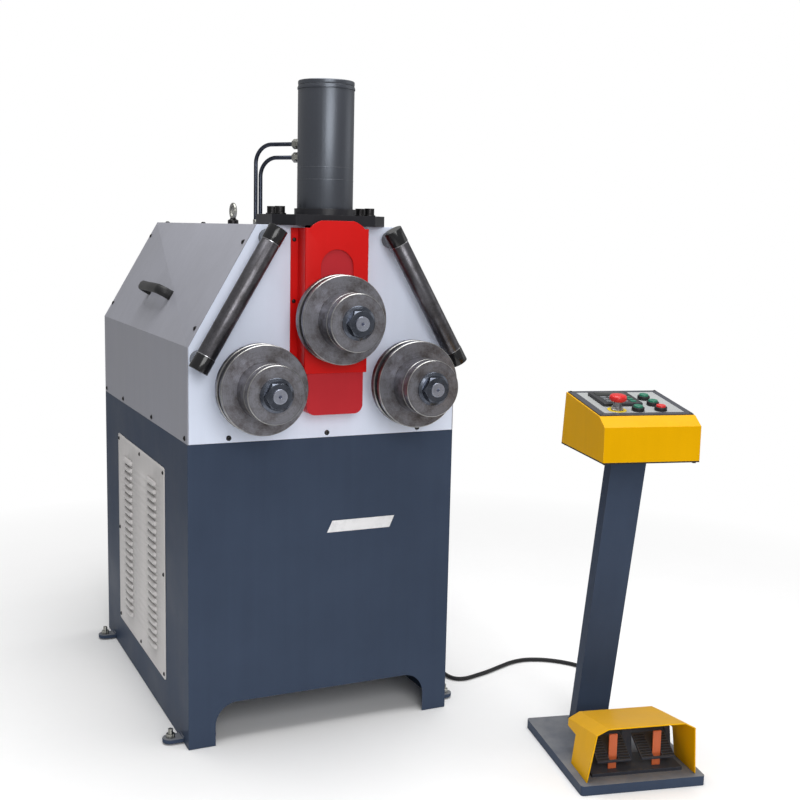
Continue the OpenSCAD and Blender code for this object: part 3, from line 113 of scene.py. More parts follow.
class BenderColours(bpy.types.PropertyGroup):
    """Colours of the coats, metals and plastics."""

    cabinet: colour_property("Cabinet", "Blue-grey coat of the cabinet and pedestal", (60, 71, 90))
    cover: colour_property("Covers", "Grey coat of the upper covers", (155, 156, 165))
    vent: colour_property("Vent panels", "Pale warm grey of the louvre panels", (212, 209, 208))
    plate: colour_property("Front plate", "Pale blue-white of the front plate", (222, 230, 247))
    red: colour_property("Slide cover", "Signal red of the slide cover", (206, 20, 18))
    crimson: colour_property("Carriage", "Darker red of the carriage", (186, 40, 48))
    yellow: colour_property("Pedestal yellow", "Yellow of the control box and the pedal guard", (230, 171, 0))
    black: colour_property("Black coat", "Satin black of the cylinder and its flange", (38, 39, 45))
    roll: colour_property("Roll steel", "Worn steel of the rolls", (142, 142, 149))
    bright: colour_property("Bright steel", "Turned edges, shafts and rods", (196, 196, 200))
    bar: colour_property("Guide bars", "Oiled dark steel of the guide bars", (107, 106, 111))
    zinc: colour_property("Zinc", "Plated screws and fittings", (178, 178, 172))
    bronze: colour_property("Bronze", "Shaft bushes", (176, 141, 74))
    plastic: colour_property("Black plastic", "Handles, bezels and glands", (30, 30, 32))
    green: colour_property("Green buttons", "Caps of the start buttons", (32, 112, 88))
    stop: colour_property("Red buttons", "Caps of the stop buttons", (206, 40, 40))
    orange: colour_property("Latches", "Orange of the pedal latches", (200, 100, 58))
    panel: colour_property("Panel", "Pale foil of the control panel", (166, 169, 169))
    pedal: colour_property("Pedals", "Dark grey of the pedals", (56, 58, 66))
    cable: colour_property("Cable", "Black sheath of the control cable", (26, 26, 28))
    floor: colour_property("Floor", "Plain pale studio floor", (250, 250, 250))


class BenderSizes(bpy.types.PropertyGroup):
    """Sizes of the details that the solids leave out."""

    screw_d: length_property("Cover screws", "Head diameter of the cover screws", 0.013, 0.006, 0.02)
    louvre_rows: IntProperty(name="Louvre rows", description="Louvres in a column", default=22, min=8, max=22)
    louvre_pitch: length_property("Louvre pitch", "Height from louvre to louvre", 0.021, 0.019, 0.0215)
    louvre_out: length_property("Louvre depth", "How far a louvre stands out", 0.007, 0.004, 0.007)
    cable_d: length_property("Cable", "Diameter of the control cable", 0.011, 0.009, 0.011)
    weld_r: length_property("Welds", "Radius of the weld beads", 0.003, 0.002, 0.004)


class BenderStudio(bpy.types.PropertyGroup):
    """Strength of the studio's lights."""

    key: power_property("Key", "Power of the large front light", 92.0)
    top: power_property("Top", "Power of the overhead light", 185.0)
    side: power_property("Side", "Power of the right side light", 10.0)
    room: strength_property("Room", "Strength of the room's soft light", 0.3)
    gloss: strength_property("Reflections", "Strength of the room as shiny surfaces show it", 0.4)


# Places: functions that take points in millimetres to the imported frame, in metres

def on_machine(p):
    """Points of the machine's frame."""
    return p * MM + ORIGIN


def on_pedestal(p):
    """Points of the pedestal's frame: turned about the upright axis, then moved to its place."""
    c, s = math.cos(PEDESTAL_TURN), math.sin(PEDESTAL_TURN)
    turned = p @ np.array([[c, s, 0.0], [-s, c, 0.0], [0.0, 0.0, 1.0]])
    return on_machine(turned + PEDESTAL_AT)


def on_panel(p):
    """Points of the control panel's frame: tipped about X, then moved to the panel's front edge."""
    c, s = math.cos(PANEL_TILT), math.sin(PANEL_TILT)
    tipped = p @ np.array([[1.0, 0.0, 0.0], [0.0, c, s], [0.0, -s, c]])
    return on_pedestal(tipped + PANEL_AT)


def set_at(part, point, out, along=None):
    """A part moved to a point, its Z turned to the way out and its X along the given way."""
    verts, faces, slots = part
    out = np.asarray(out, float) / np.linalg.norm(out)
    guess = np.asarray(along if along is not None else (X if abs(out[0]) < 0.9 else Y), float)
    side = guess - out * (guess @ out)
    side /= np.linalg.norm(side)
    axes = np.array([side, np.cross(out, side), out])
    return verts @ axes + np.asarray(point, float), faces, slots


def moved(part, by):
    """A part moved without being turned."""
    return part[0] + np.asarray(by, float), part[1], part[2]


def mirrored(part):
    """A part and its mirror image over the middle plane, with the image's faces turned round."""
    verts, faces, slots = part
    return [part, (verts * np.array([-1.0, 1.0, 1.0]), faces[:, ::-1], slots)]


# Surfaces: each is worked out as whole arrays and returned as points, faces and material slots

def grid(points, around=False, across=False, slots=None):
    """Quads over an array of points (rows, columns, 3), joined round the rows or columns if they close."""
    rows, columns = points.shape[:2]
    index = np.arange(rows * columns).reshape(rows, columns)
    if across:
        index = np.concatenate([index, index[:1]], axis=0)
    if around:
        index = np.concatenate([index, index[:, :1]], axis=1)
    quads = np.stack([index[:-1, :-1], index[:-1, 1:], index[1:, 1:], index[1:, :-1]], axis=-1)
    marks = np.zeros(quads.shape[:2], int)
    if slots is not None:
        marks += np.asarray(slots, int)[:, None]
    return points.reshape(-1, 3).astype(float), quads.reshape(-1, 4), marks.reshape(-1)


def rings(radii, heights):
    """Rings about Z: point (r cos a, r sin a, h), where a ring's radius may change with the angle."""
    radii = np.array([np.broadcast_to(np.asarray(r, float), ROUND.shape) for r in radii])
    heights = np.asarray(heights, float)
    points = np.stack([radii * np.cos(ROUND), radii * np.sin(ROUND),
                       np.broadcast_to(heights[:, None], radii.shape)], axis=-1)
    return grid(points, around=True)


def lathe(profile, count=96, slots=None):
    """A profile of (radius, height) pairs turned about Z, with a ring of points for each pair."""
    profile = np.asarray(profile, float)
    a = np.linspace(0.0, 2 * np.pi, count, endpoint=False)
    points = np.stack([profile[:, :1] * np.cos(a), profile[:, :1] * np.sin(a),
                       np.broadcast_to(profile[:, 1:], (len(profile), count))], axis=-1)
    return grid(points, around=True, slots=slots)


ROUND = np.linspace(0.0, 2 * np.pi, 48, endpoint=False)


def hexagon(flats):
    """Radius of a hexagon with that width across flats, at each angle of a ring."""
    return flats / 2 / np.cos((ROUND + np.pi / 6) % (np.pi / 3) - np.pi / 6)


def ways_along(path):
    """Unit ways along a path: the line from the point before to the point after."""
    way = np.gradient(path, axis=0)
    return way / np.linalg.norm(way, axis=1)[:, None]


def tube(path, radius, sides=12, up=Z, flat=1.0):
    """A round section carried along a path and closed at both ends, widened that many times towards up."""
    path = np.asarray(path, float)
    way = ways_along(path)
    side = np.cross(np.asarray(up, float), way)
    side /= np.linalg.norm(side, axis=1)[:, None]
    over = np.cross(way, side)
    radius = np.broadcast_to(np.asarray(radius, float), (len(path),))
    a = np.linspace(0.0, 2 * np.pi, sides, endpoint=False)
    ring = np.cos(a)[None, :, None] * side[:, None, :] + flat * np.sin(a)[None, :, None] * over[:, None, :]
    body = path[:, None, :] + radius[:, None, None] * ring
    ends = [np.repeat(path[:1, None, :], sides, axis=1), np.repeat(path[-1:, None, :], sides, axis=1)]
    return grid(np.concatenate([ends[0], body, ends[1]]), around=True)


def rounded_outline(w, h, r, steps=6):
    """A rectangle with rounded corners: four quarter circles joined in order, anticlockwise."""
    a = np.linspace(0.0, np.pi / 2, steps)
    turn = np.arange(4)[:, None] * np.pi / 2
    corner = np.array([[1, 1], [-1, 1], [-1, -1], [1, -1]]) * np.array([w / 2 - r, h / 2 - r])
    x = corner[:, :1] + r * np.cos(a + turn)
    y = corner[:, 1:] + r * np.sin(a + turn)
    return np.stack([x.ravel(), y.ravel()], axis=-1)


def slab(outline, height, edge):
    """An outline raised to a plate with a quarter-round upper edge and closed top and bottom."""
    a = np.linspace(0.0, np.pi / 2, 4)
    inset = np.concatenate([[0.0], edge * (1 - np.cos(a))])
    rise = np.concatenate([[0.0], height - edge + edge * np.sin(a)])
    middle = outline.mean(axis=0)
    reach = np.abs(outline - middle).max(axis=0)
    shrink = 1.0 - inset[:, None] / reach[None, :]
    loops = middle + (outline - middle)[None] * shrink[:, None, :]
    points = np.concatenate([loops, np.broadcast_to(rise[:, None, None], loops.shape[:2] + (1,))], axis=-1)
    low = np.broadcast_to(np.array([*middle, 0.0]), (1,) + points.shape[1:])
    high = np.broadcast_to(np.array([*middle, height]), (1,) + points.shape[1:])
    return grid(np.concatenate([low, points, high]), around=True)


def smooth_path(points, steps=6):
    """A Catmull-Rom curve through the points: each span is a cubic set by its four nearest points."""
    p = np.asarray(points, float)
    p = np.concatenate([2 * p[:1] - p[1:2], p, 2 * p[-1:] - p[-2:-1]])
    t = np.linspace(0.0, 1.0, steps, endpoint=False)[:, None, None]
    a, b, c, d = p[:-3], p[1:-2], p[2:-1], p[3:]
    curve = 0.5 * (2 * b + (c - a) * t + (2 * a - 5 * b + 4 * c - d) * t ** 2
                   + (3 * b - a - 3 * c + d) * t ** 3)
    return np.concatenate([curve.transpose(1, 0, 2).reshape(-1, 3), p[-2:-1]])


def button_screw(d):
    """A low domed head with a hexagon socket: the dome is a quarter ellipse."""
    a = np.linspace(0.0, np.pi / 2.6, 6)
    h = d * 0.3
    flats = d * 0.42
    radii = [0.0, *(d / 2 * np.cos(a)), hexagon(flats), hexagon(flats), 0.0]
    heights = [0.0, *(h * np.sin(a)), h * 0.93, h * 0.35, h * 0.3]
    return rings(radii, heights)


def hex_nut(flats, h, bore):
    """A hexagon nut: its corners are cut by a cone at both ends, and its bore is open."""
    round_r = flats / 2 * 1.06
    shape = hexagon(flats)
    cut = np.minimum(shape, round_r)
    return rings([bore / 2, cut - h * 0.03, shape, shape, cut - h * 0.03, bore / 2, bore / 2],
                 [0.0, 0.0, h * 0.1, h * 0.9, h, h, 0.0])


def thread(d, length, pitch):
    """A threaded sleeve with ridges one pitch apart: the radius runs as a triangle wave along the length."""
    z = np.linspace(0.0, length, max(int(length / pitch * 4), 8) + 1)
    depth = pitch * 0.55
    wave = np.abs((z / pitch) % 1.0 - 0.5) * 2
    ridges = np.column_stack([d / 2 - depth * wave, z])
    core = d / 2 - 2 * depth
    return lathe(np.concatenate([ridges, [[core, length], [core, 0.0]], ridges[:1]]), count=40)


def weld_bead(start, end, r):
    """A weld along a line: a tube whose radius swells and falls with each ripple."""
    start, end = np.asarray(start, float), np.asarray(end, float)
    length = np.linalg.norm(end - start)
    s = np.linspace(0.0, 1.0, max(int(length / (r * 0.35)), 8))
    swell = r * (1.0 + 0.13 * np.sin(s * length / (r * 1.1) * 2 * np.pi))
    return tube(start + (end - start) * s[:, None], swell, sides=10)


# Objects

MERGE = 2e-6  # points closer than this are one, in metres
TINY = 1e-7  # edges shorter than this are taken out, in metres
SHARP = 32.0  # edges that turn more than this stay sharp, in degrees


def put(name, data):
    """A new object in the scene."""
    obj = bpy.data.objects.new(name, data)
    bpy.context.scene.collection.objects.link(obj)
    return obj


def build(name, parts, materials, body="frame", place=on_machine, sharp=SHARP, stands_for=(),
          closed=True):
    """One mesh object from parts: doubles merged, faces turned outwards, edges sharp past an angle."""
    offset, verts, faces, marks = 0, [], [], []
    for v, f, m in parts:
        verts.append(place(v))
        faces.append(f + offset)
        marks.append(m)
        offset += len(v)
    mesh = bpy.data.meshes.new(name)
    mesh.from_pydata(np.concatenate(verts).tolist(), [], np.concatenate(faces).tolist())
    mesh.polygons.foreach_set("material_index", np.concatenate(marks).astype(np.int32))
    work = bmesh.new()
    work.from_mesh(mesh)
    bmesh.ops.remove_doubles(work, verts=work.verts, dist=MERGE)
    bmesh.ops.dissolve_degenerate(work, edges=work.edges, dist=TINY)
    if closed:
        bmesh.ops.recalc_face_normals(work, faces=work.faces)
    work.to_mesh(mesh)
    work.free()
    mesh.shade_smooth()
    mesh.set_sharp_from_angle(angle=math.radians(sharp))
    for material in materials:
        mesh.materials.append(material)
    obj = put(name, mesh)
    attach(obj, body)
    if stands_for:
        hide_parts(*stands_for)
    return obj


def finish(names, material, edge=0.8, segments=2):
    """Gives CAD nodes their material and rounds their sharp edges, unless the edge is 0."""
    for name in names:
        obj = NODES[name]
        obj.data.materials.clear()
        obj.data.materials.append(material)
        weld = obj.modifiers.new("weld", "WELD")
        weld.merge_threshold = MERGE
        if edge > 0:
            soften(obj, edge, segments)


def soften(obj, edge, segments):
    """Rounds an object's sharp edges to that radius, or to what the shortest edges leave room for."""
    bevel = obj.modifiers.new("edge", "BEVEL")
    bevel.width = edge * MM
    bevel.segments = segments
    bevel.limit_method = "ANGLE"
    bevel.angle_limit = math.radians(SHARP)
    bevel.harden_normals = True


def solidify(obj, thickness):
    """A wall's thickness, grown inwards from the outer face."""
    wall = obj.modifiers.new("wall", "SOLIDIFY")
    wall.thickness = thickness * MM
    wall.offset = -1.0


# Shader groups

def new_group(name, inputs, outputs):
    """A shader node group with named sockets; returns the group, its input node and its output node."""
    tree = bpy.data.node_groups.new(name, "ShaderNodeTree")
    for label, kind, default in inputs:
        socket = tree.interface.new_socket(label, in_out="INPUT", socket_type=kind)
        socket.default_value = default
    for label, kind in outputs:
        tree.interface.new_socket(label, in_out="OUTPUT", socket_type=kind)
    return tree, tree.nodes.new("NodeGroupInput"), tree.nodes.new("NodeGroupOutput")


def add(tree, kind, settings=None, **inputs):
    """A node with its settings and inputs; an input is a value or another node's socket."""
    node = tree.nodes.new(kind)
    for key, value in (settings or {}).items():
        setattr(node, key, value)
    for key, value in inputs.items():
        label = int(key[1:]) if key[0] == "i" and key[1:].isdigit() else key.replace("_", " ")
        if isinstance(value, bpy.types.NodeSocket):
            tree.links.new(value, node.inputs[label])
        else:
            node.inputs[label].default_value = value
    return node


def math_node(tree, operation, first, second=0.0, clamp=False):
    """The result socket of one sum."""
    node = add(tree, "ShaderNodeMath", {"operation": operation, "use_clamp": clamp}, i0=first, i1=second)
    return node.outputs[0]


def mix_colour(tree, factor, first, second):
    """The result socket of a colour mix."""
    node = add(tree, "ShaderNodeMix", {"data_type": "RGBA"}, i0=factor, i6=first, i7=second)
    return node.outputs[2]


def mix_value(tree, factor, first, second):
    """The result socket of a mix of two values."""
    return add(tree, "ShaderNodeMix", {"data_type": "FLOAT"}, i0=factor, i2=first, i3=second).outputs[0]


def spread(tree, value, low, high, to_low=0.0, to_high=1.0):
    """A value's range stretched to another range and held within it."""
    node = add(tree, "ShaderNodeMapRange", {"clamp": True}, i0=value, i1=low, i2=high, i3=to_low, i4=to_high)
    return node.outputs[0]


def noise(tree, vector, scale, detail=4.0, roughness=0.55):
    """The value socket of a noise pattern on a vector."""
    node = add(tree, "ShaderNodeTexNoise", None, Vector=vector, Scale=scale, Detail=detail,
               Roughness=roughness)
    return node.outputs[0]


def edge_wear_group():
    """Edge mask: how far a softened normal turns from the true one, broken up by noise."""
    tree, start, end = new_group("Edge wear", [
        ("Vector", "NodeSocketVector", (0, 0, 0)), ("Radius", "NodeSocketFloat", 0.002),
        ("Amount", "NodeSocketFloat", 0.5)], [("Mask", "NodeSocketFloat")])
    soft = add(tree, "ShaderNodeBevel", {"samples": 4}, Radius=start.outputs["Radius"]).outputs[0]
    true = add(tree, "ShaderNodeNewGeometry").outputs["Normal"]
    turn = add(tree, "ShaderNodeVectorMath", {"operation": "DOT_PRODUCT"}, i0=soft, i1=true).outputs["Value"]
    edge = spread(tree, turn, 0.995, 0.86)
    broken = spread(tree, noise(tree, start.outputs["Vector"], 55.0, 6.0, 0.7), 0.42, 0.62)
    worn = math_node(tree, "MULTIPLY", edge, broken)
    tree.links.new(math_node(tree, "MULTIPLY", worn, start.outputs["Amount"], True), end.inputs["Mask"])
    return tree


def tone_group():
    """Slow shifts of tone, fine speckle and faint streaks that run down the surface."""
    tree, start, end = new_group("Tone", [
        ("Vector", "NodeSocketVector", (0, 0, 0)), ("Colour", "NodeSocketColor", (0.5, 0.5, 0.5, 1)),
        ("Amount", "NodeSocketFloat", 0.1)], [("Colour", "NodeSocketColor"), ("Cloud", "NodeSocketFloat")])
    vector = start.outputs["Vector"]
    cloud = noise(tree, vector, 5.0, 5.0)
    stretch = add(tree, "ShaderNodeMapping", None, Vector=vector, Scale=(38.0, 38.0, 1.6)).outputs[0]
    streak = noise(tree, stretch, 1.0, 3.0)
    speckle = noise(tree, vector, 900.0, 2.0)
    total = math_node(tree, "ADD", math_node(tree, "ADD", cloud, math_node(tree, "MULTIPLY", streak, 0.5)),
                      math_node(tree, "MULTIPLY", speckle, 0.35))
    shift = spread(tree, total, 0.62, 1.22, -1.0, 1.0)
    gain = math_node(tree, "ADD", math_node(tree, "MULTIPLY", shift, start.outputs["Amount"]), 1.0)
    scaled = add(tree, "ShaderNodeVectorMath", {"operation": "SCALE"}, i0=start.outputs["Colour"], Scale=gain)
    tree.links.new(scaled.outputs[0], end.inputs["Colour"])
    tree.links.new(cloud, end.inputs["Cloud"])
    return tree


def peel_group():
    """Height of sprayed or moulded skin: soft waves with a fine grain on them."""
    tree, start, end = new_group("Skin", [
        ("Vector", "NodeSocketVector", (0, 0, 0)), ("Scale", "NodeSocketFloat", 300.0),
        ("Grain", "NodeSocketFloat", 0.3)], [("Height", "NodeSocketFloat")])
    wave = noise(tree, start.outputs["Vector"], start.outputs["Scale"], 2.0)
    fine = noise(tree, start.outputs["Vector"], 2600.0, 1.0)
    mixed = math_node(tree, "ADD", wave, math_node(tree, "MULTIPLY", fine, start.outputs["Grain"]))
    tree.links.new(mixed, end.inputs["Height"])
    return tree


def dust_group():
    """Dust on faces that look up: the normal's height, broken up by soft noise."""
    tree, start, end = new_group("Dust", [
        ("Vector", "NodeSocketVector", (0, 0, 0)), ("Amount", "NodeSocketFloat", 0.2)],
        [("Mask", "NodeSocketFloat")])
    normal = add(tree, "ShaderNodeNewGeometry").outputs["Normal"]
    upward = spread(tree, add(tree, "ShaderNodeSeparateXYZ", None, i0=normal).outputs[2], 0.6, 0.95)
    clouds = spread(tree, noise(tree, start.outputs["Vector"], 14.0, 6.0, 0.6), 0.3, 0.7, 0.6, 1.2)
    cover = math_node(tree, "MULTIPLY", upward, clouds)
    tree.links.new(math_node(tree, "MULTIPLY", cover, start.outputs["Amount"], True), end.inputs["Mask"])
    return tree


def turned_group():
    """Turning marks round the Y axis: noise that changes only with the distance from it and along it."""
    tree, start, end = new_group("Turning marks", [("Vector", "NodeSocketVector", (0, 0, 0))],
                                 [("Marks", "NodeSocketFloat"), ("Patches", "NodeSocketFloat")])
    parts = add(tree, "ShaderNodeSeparateXYZ", None, i0=start.outputs["Vector"])
    flat = add(tree, "ShaderNodeCombineXYZ", None, i0=parts.outputs[0], i2=parts.outputs[2]).outputs[0]
    radius = add(tree, "ShaderNodeVectorMath", {"operation": "LENGTH"}, i0=flat).outputs["Value"]
    fineness = 900.0
    along = add(tree, "ShaderNodeCombineXYZ", None, i0=math_node(tree, "MULTIPLY", radius, fineness),
                i1=math_node(tree, "MULTIPLY", parts.outputs[1], fineness)).outputs[0]
    tree.links.new(noise(tree, along, 1.0, 3.0, 0.65), end.inputs["Marks"])
    patches = noise(tree, start.outputs["Vector"], 22.0, 10.0, 0.76)
    tree.links.new(patches, end.inputs["Patches"])
    return tree


# Finishes

GROUPS = {}
MATERIALS = {}


def group_in(tree, name, **inputs):
    """A placed shader group with its inputs set."""
    return add(tree, "ShaderNodeGroup", {"node_tree": GROUPS[name]}, **inputs)


def start_material(name):
    """An empty node material; returns it with its tree, its shader and its object coordinates."""
    material = bpy.data.materials.new(name)
    material.use_nodes = True
    tree = material.node_tree
    shader = tree.nodes["Principled BSDF"]
    vector = add(tree, "ShaderNodeTexCoord").outputs["Object"]
    MATERIALS[name] = material
    return material, tree, shader, vector


def bump(tree, shader, height, strength, distance):
    """Feeds a height into the shader's normal."""
    node = add(tree, "ShaderNodeBump", None, Strength=strength, Distance=distance, Height=height)
    tree.links.new(node.outputs[0], shader.inputs["Normal"])


DUST = srgb(176, 174, 170)
PRIMER = srgb(150, 150, 152)
CLOUD_LOW, CLOUD_HIGH = 0.3, 0.7  # the part of a noise's range that is stretched over a finish


def coat(name, colour, worn, rough=(0.32, 0.5), wear=0.5, peel=260.0, tone=0.1, shine=0.2, dust=0.06):
    """Sprayed paint: toned colour, worn edges that show the ground coat, dust on top, a peel in the bump."""
    material, tree, shader, vector = start_material(name)
    toned = group_in(tree, "tone", Vector=vector, Colour=(*colour, 1.0), Amount=tone)
    edge = group_in(tree, "edge", Vector=vector, Radius=0.0018, Amount=wear)
    settled = group_in(tree, "dust", Vector=vector, Amount=dust)
    rubbed = mix_colour(tree, edge.outputs["Mask"], toned.outputs["Colour"], (*worn, 1.0))
    dusty = mix_colour(tree, settled.outputs["Mask"], rubbed, (*DUST, 1.0))
    tree.links.new(dusty, shader.inputs["Base Color"])
    clouded = spread(tree, toned.outputs["Cloud"], CLOUD_LOW, CLOUD_HIGH, *rough)
    tree.links.new(clouded, shader.inputs["Roughness"])
    shader.inputs["Specular IOR Level"].default_value = shine
    skin = group_in(tree, "skin", Vector=vector, Scale=peel, Grain=0.3)
    bump(tree, shader, skin.outputs["Height"], 0.25, 0.00025)
    return material


def metal(name, colour, dark, rough=(0.25, 0.45), centre=None, marks=0.25, wear=0.6):
    """Turned or drawn steel: marks round an axis, darker patches and bright rubbed edges; on the nuts the
    bright edges are also a painted highlight.
    """
    material, tree, shader, vector = start_material(name)
    if centre is not None:
        to_axis = tuple(-c for c in centre)
        vector = add(tree, "ShaderNodeMapping", None, Vector=vector, Location=to_axis).outputs[0]
    turned = group_in(tree, "turned", Vector=vector)
    patch = spread(tree, turned.outputs["Patches"], 0.42, 0.62)
    base = mix_colour(tree, patch, (*colour, 1.0), (*dark, 1.0))
    fine = spread(tree, turned.outputs["Marks"], CLOUD_LOW, CLOUD_HIGH, 0.75, 1.15)
    lined = add(tree, "ShaderNodeVectorMath", {"operation": "SCALE"}, i0=base, Scale=fine).outputs[0]
    edge = group_in(tree, "edge", Vector=vector, Radius=0.0016, Amount=wear)
    bright = tuple(min(1.0, c * 1.5 + 0.12) for c in colour)
    tree.links.new(mix_colour(tree, edge.outputs["Mask"], lined, (*bright, 1.0)), shader.inputs["Base Color"])
    tree.links.new(spread(tree, turned.outputs["Patches"], 0.35, 0.68, *rough), shader.inputs["Roughness"])
    shader.inputs["Metallic"].default_value = 1.0
    bump(tree, shader, turned.outputs["Marks"], marks, 0.0002)
    return material


def moulded(name, colour, rough=(0.38, 0.55), grain=700.0, depth=0.0002, tone=0.12, wear=0.3):
    """Moulded plastic or rubber: a fine even grain, rubbed lighter at the edges."""
    material, tree, shader, vector = start_material(name)
    toned = group_in(tree, "tone", Vector=vector, Colour=(*colour, 1.0), Amount=tone)
    edge = group_in(tree, "edge", Vector=vector, Radius=0.0012, Amount=wear)
    pale = tuple(min(1.0, c * 1.4 + 0.06) for c in colour)
    rubbed = mix_colour(tree, edge.outputs["Mask"], toned.outputs["Colour"], (*pale, 1.0))
    tree.links.new(rubbed, shader.inputs["Base Color"])
    clouded = spread(tree, toned.outputs["Cloud"], CLOUD_LOW, CLOUD_HIGH, *rough)
    tree.links.new(clouded, shader.inputs["Roughness"])
    shader.inputs["Specular IOR Level"].default_value = 0.35
    skin = group_in(tree, "skin", Vector=vector, Scale=grain, Grain=0.6)
    bump(tree, shader, skin.outputs["Height"], 0.3, depth)
    return material


def make_coats(c):
    """Paints of the machine and the pedestal."""
    coat("cabinet coat", c.cabinet, srgb(128, 132, 142), rough=(0.36, 0.5), wear=0.35, tone=0.09,
         shine=0.05, dust=0.4)
    coat("cover coat", c.cover, srgb(176, 174, 174), rough=(0.36, 0.52), wear=0.35, peel=420.0, tone=0.08)
    coat("vent coat", c.vent, srgb(206, 204, 200), rough=(0.4, 0.55), wear=0.3, tone=0.07)
    coat("plate coat", c.plate, PRIMER, rough=(0.34, 0.5), wear=0.3, tone=0.05)
    coat("slide red", c.red, srgb(120, 24, 26), rough=(0.26, 0.4), wear=0.35, tone=0.07)
    coat("carriage red", c.crimson, srgb(110, 24, 30), rough=(0.32, 0.46), wear=0.4, tone=0.08)
    coat("pedestal yellow", c.yellow, srgb(250, 214, 92), rough=(0.3, 0.44), wear=0.4, tone=0.07,
         shine=0.06)
    bare = srgb(96, 96, 98)
    black = coat("black coat", c.black, bare, rough=(0.32, 0.42), wear=0.4, tone=0.12, shine=1.0)
    sheen = black.node_tree.nodes["Principled BSDF"]
    sheen.inputs["IOR"].default_value = 1.6
    sheen.inputs["Specular Tint"].default_value = (0.8, 0.88, 1.0, 1.0)
    coat("flange black", srgb(36, 36, 40), bare, rough=(0.3, 0.42), wear=0.5, tone=0.12)
    coat("gloss black", srgb(24, 24, 26), srgb(84, 84, 86), rough=(0.12, 0.24), wear=0.3, tone=0.1,
         shine=0.5)
    coat("machine grey", srgb(88, 91, 96), PRIMER, wear=0.4)
    coat("pedal coat", c.pedal, srgb(120, 121, 126), rough=(0.42, 0.6), wear=0.6, tone=0.14)
    coat("graphic white", srgb(238, 238, 240), PRIMER, rough=(0.4, 0.5), wear=0.2, tone=0.04)


def make_metals(c):
    """Bare, plated and oiled metals; each roll's marks run round its own axis."""
    for side, (x, z) in ROLLS.items():
        centre = on_machine(np.array([x, 0.0, z]))
        metal(side + " roll steel", c.roll, srgb(94, 90, 91), rough=(0.34, 0.52), centre=centre,
              marks=0.35)
        metal(side + " roll rim", srgb(176, 176, 174), srgb(136, 134, 130), rough=(0.28, 0.42),
              centre=centre)
    metal("bright steel", c.bright, srgb(150, 150, 152), rough=(0.2, 0.34))
    metal("shaft steel", srgb(186, 190, 204), srgb(150, 153, 166), rough=(0.24, 0.38))
    metal("bar steel", c.bar, srgb(80, 78, 80), rough=(0.3, 0.46), marks=0.15)
    metal("pipe steel", srgb(74, 79, 92), srgb(54, 58, 68), rough=(0.3, 0.42), marks=0.1)
    metal("zinc plate", c.zinc, srgb(136, 136, 130), rough=(0.28, 0.42), marks=0.1)
    # Strong edge wear on the nuts: rubbed steel, and also a painted highlight along the chamfers
    metal("nut steel", srgb(100, 105, 116), srgb(66, 70, 79), rough=(0.2, 0.32), marks=0.1, wear=0.9)
    metal("black oxide", srgb(58, 57, 58), srgb(38, 37, 38), rough=(0.32, 0.48), marks=0.1, wear=0.8)
    metal("bronze bush", c.bronze, srgb(126, 98, 52), rough=(0.3, 0.45))


def make_plastics(c):
    """Plastics, foil, rubber and the cable's sheath."""
    moulded("black plastic", c.plastic)
    moulded("frame grey", srgb(66, 68, 75))
    moulded("display plastic", srgb(46, 47, 50), rough=(0.4, 0.55))
    moulded("green cap", c.green, rough=(0.22, 0.34), grain=300.0, depth=0.0001)
    moulded("red cap", c.stop, rough=(0.22, 0.34), grain=300.0, depth=0.0001)
    moulded("yellow cap", srgb(240, 208, 20), rough=(0.3, 0.42), grain=300.0)
    moulded("orange latch", c.orange, rough=(0.36, 0.5))
    moulded("panel foil", c.panel, rough=(0.34, 0.46), grain=500.0, depth=0.0001, tone=0.04)
    moulded("screen", srgb(20, 26, 24), rough=(0.08, 0.16), grain=200.0, depth=0.00004, tone=0.1)
    moulded("key grey", srgb(112, 116, 120), rough=(0.4, 0.5))
    moulded("cable sheath", c.cable, rough=(0.5, 0.65), grain=900.0)
    moulded("pedal rubber", srgb(34, 34, 37), rough=(0.55, 0.7), grain=900.0)


class BENDER_OT_finishes(bpy.types.Operator):
    """Make the shader groups and the materials of every finish"""

    bl_idname = "bender.finishes"
    bl_label = "Finishes"

    def execute(self, context):
        c = context.scene.bender_colours
        GROUPS.update(edge=edge_wear_group(), tone=tone_group(), skin=peel_group(), dust=dust_group(),
                      turned=turned_group())
        make_coats(c)
        make_metals(c)
        make_plastics(c)
        return {"FINISHED"}


def mat(name):
    """A finished material by its name."""
    return MATERIALS[name]


# Stage

def look_axes(yaw, pitch, roll):
    """Right, up and forward ways of a camera from its yaw, its pitch down and its roll, in degrees."""
    y, p, r = (math.radians(v) for v in (yaw, pitch, roll))
    right = Vector((math.cos(y), -math.sin(y), 0.0))
    level = Vector((math.sin(y), math.cos(y), 0.0))
    forward = level * math.cos(p) - Vector((0, 0, math.sin(p)))
    up = Vector((0, 0, math.cos(p))) + level * math.sin(p)
    return right * math.cos(r) + up * math.sin(r), up * math.cos(r) - right * math.sin(r), forward


def area_light(name, at, target, size, power):
    """A square soft light turned to a target."""
    lamp = bpy.data.lights.new(name, "AREA")
    lamp.shape = "SQUARE"
    lamp.size = size
    lamp.energy = power
    obj = put(name, lamp)
    obj.location = at
    obj.rotation_euler = (Vector(target) - Vector(at)).to_track_quat("-Z", "Y").to_euler()


WHITE, DARK = (1.0, 1.0, 1.0, 1.0), (0.0, 0.0, 0.0, 1.0)
CAMERA_AT = np.array([-1056.0, -2645.0, 1267.2])
CAMERA_YAW, CAMERA_PITCH, CAMERA_ROLL = 25.3557, 8.3265, 1.2722
SENSOR_W = 36.0
FOCAL_PX, PICTURE_PX = 1170.94, 800.0
FLOOR_REACH, FLOOR_DROP = 14.0, 0.0004
FLOOR_NEAR, FLOOR_FAR = 1.3, 2.6  # the floor fades to plain white between these distances, in metres


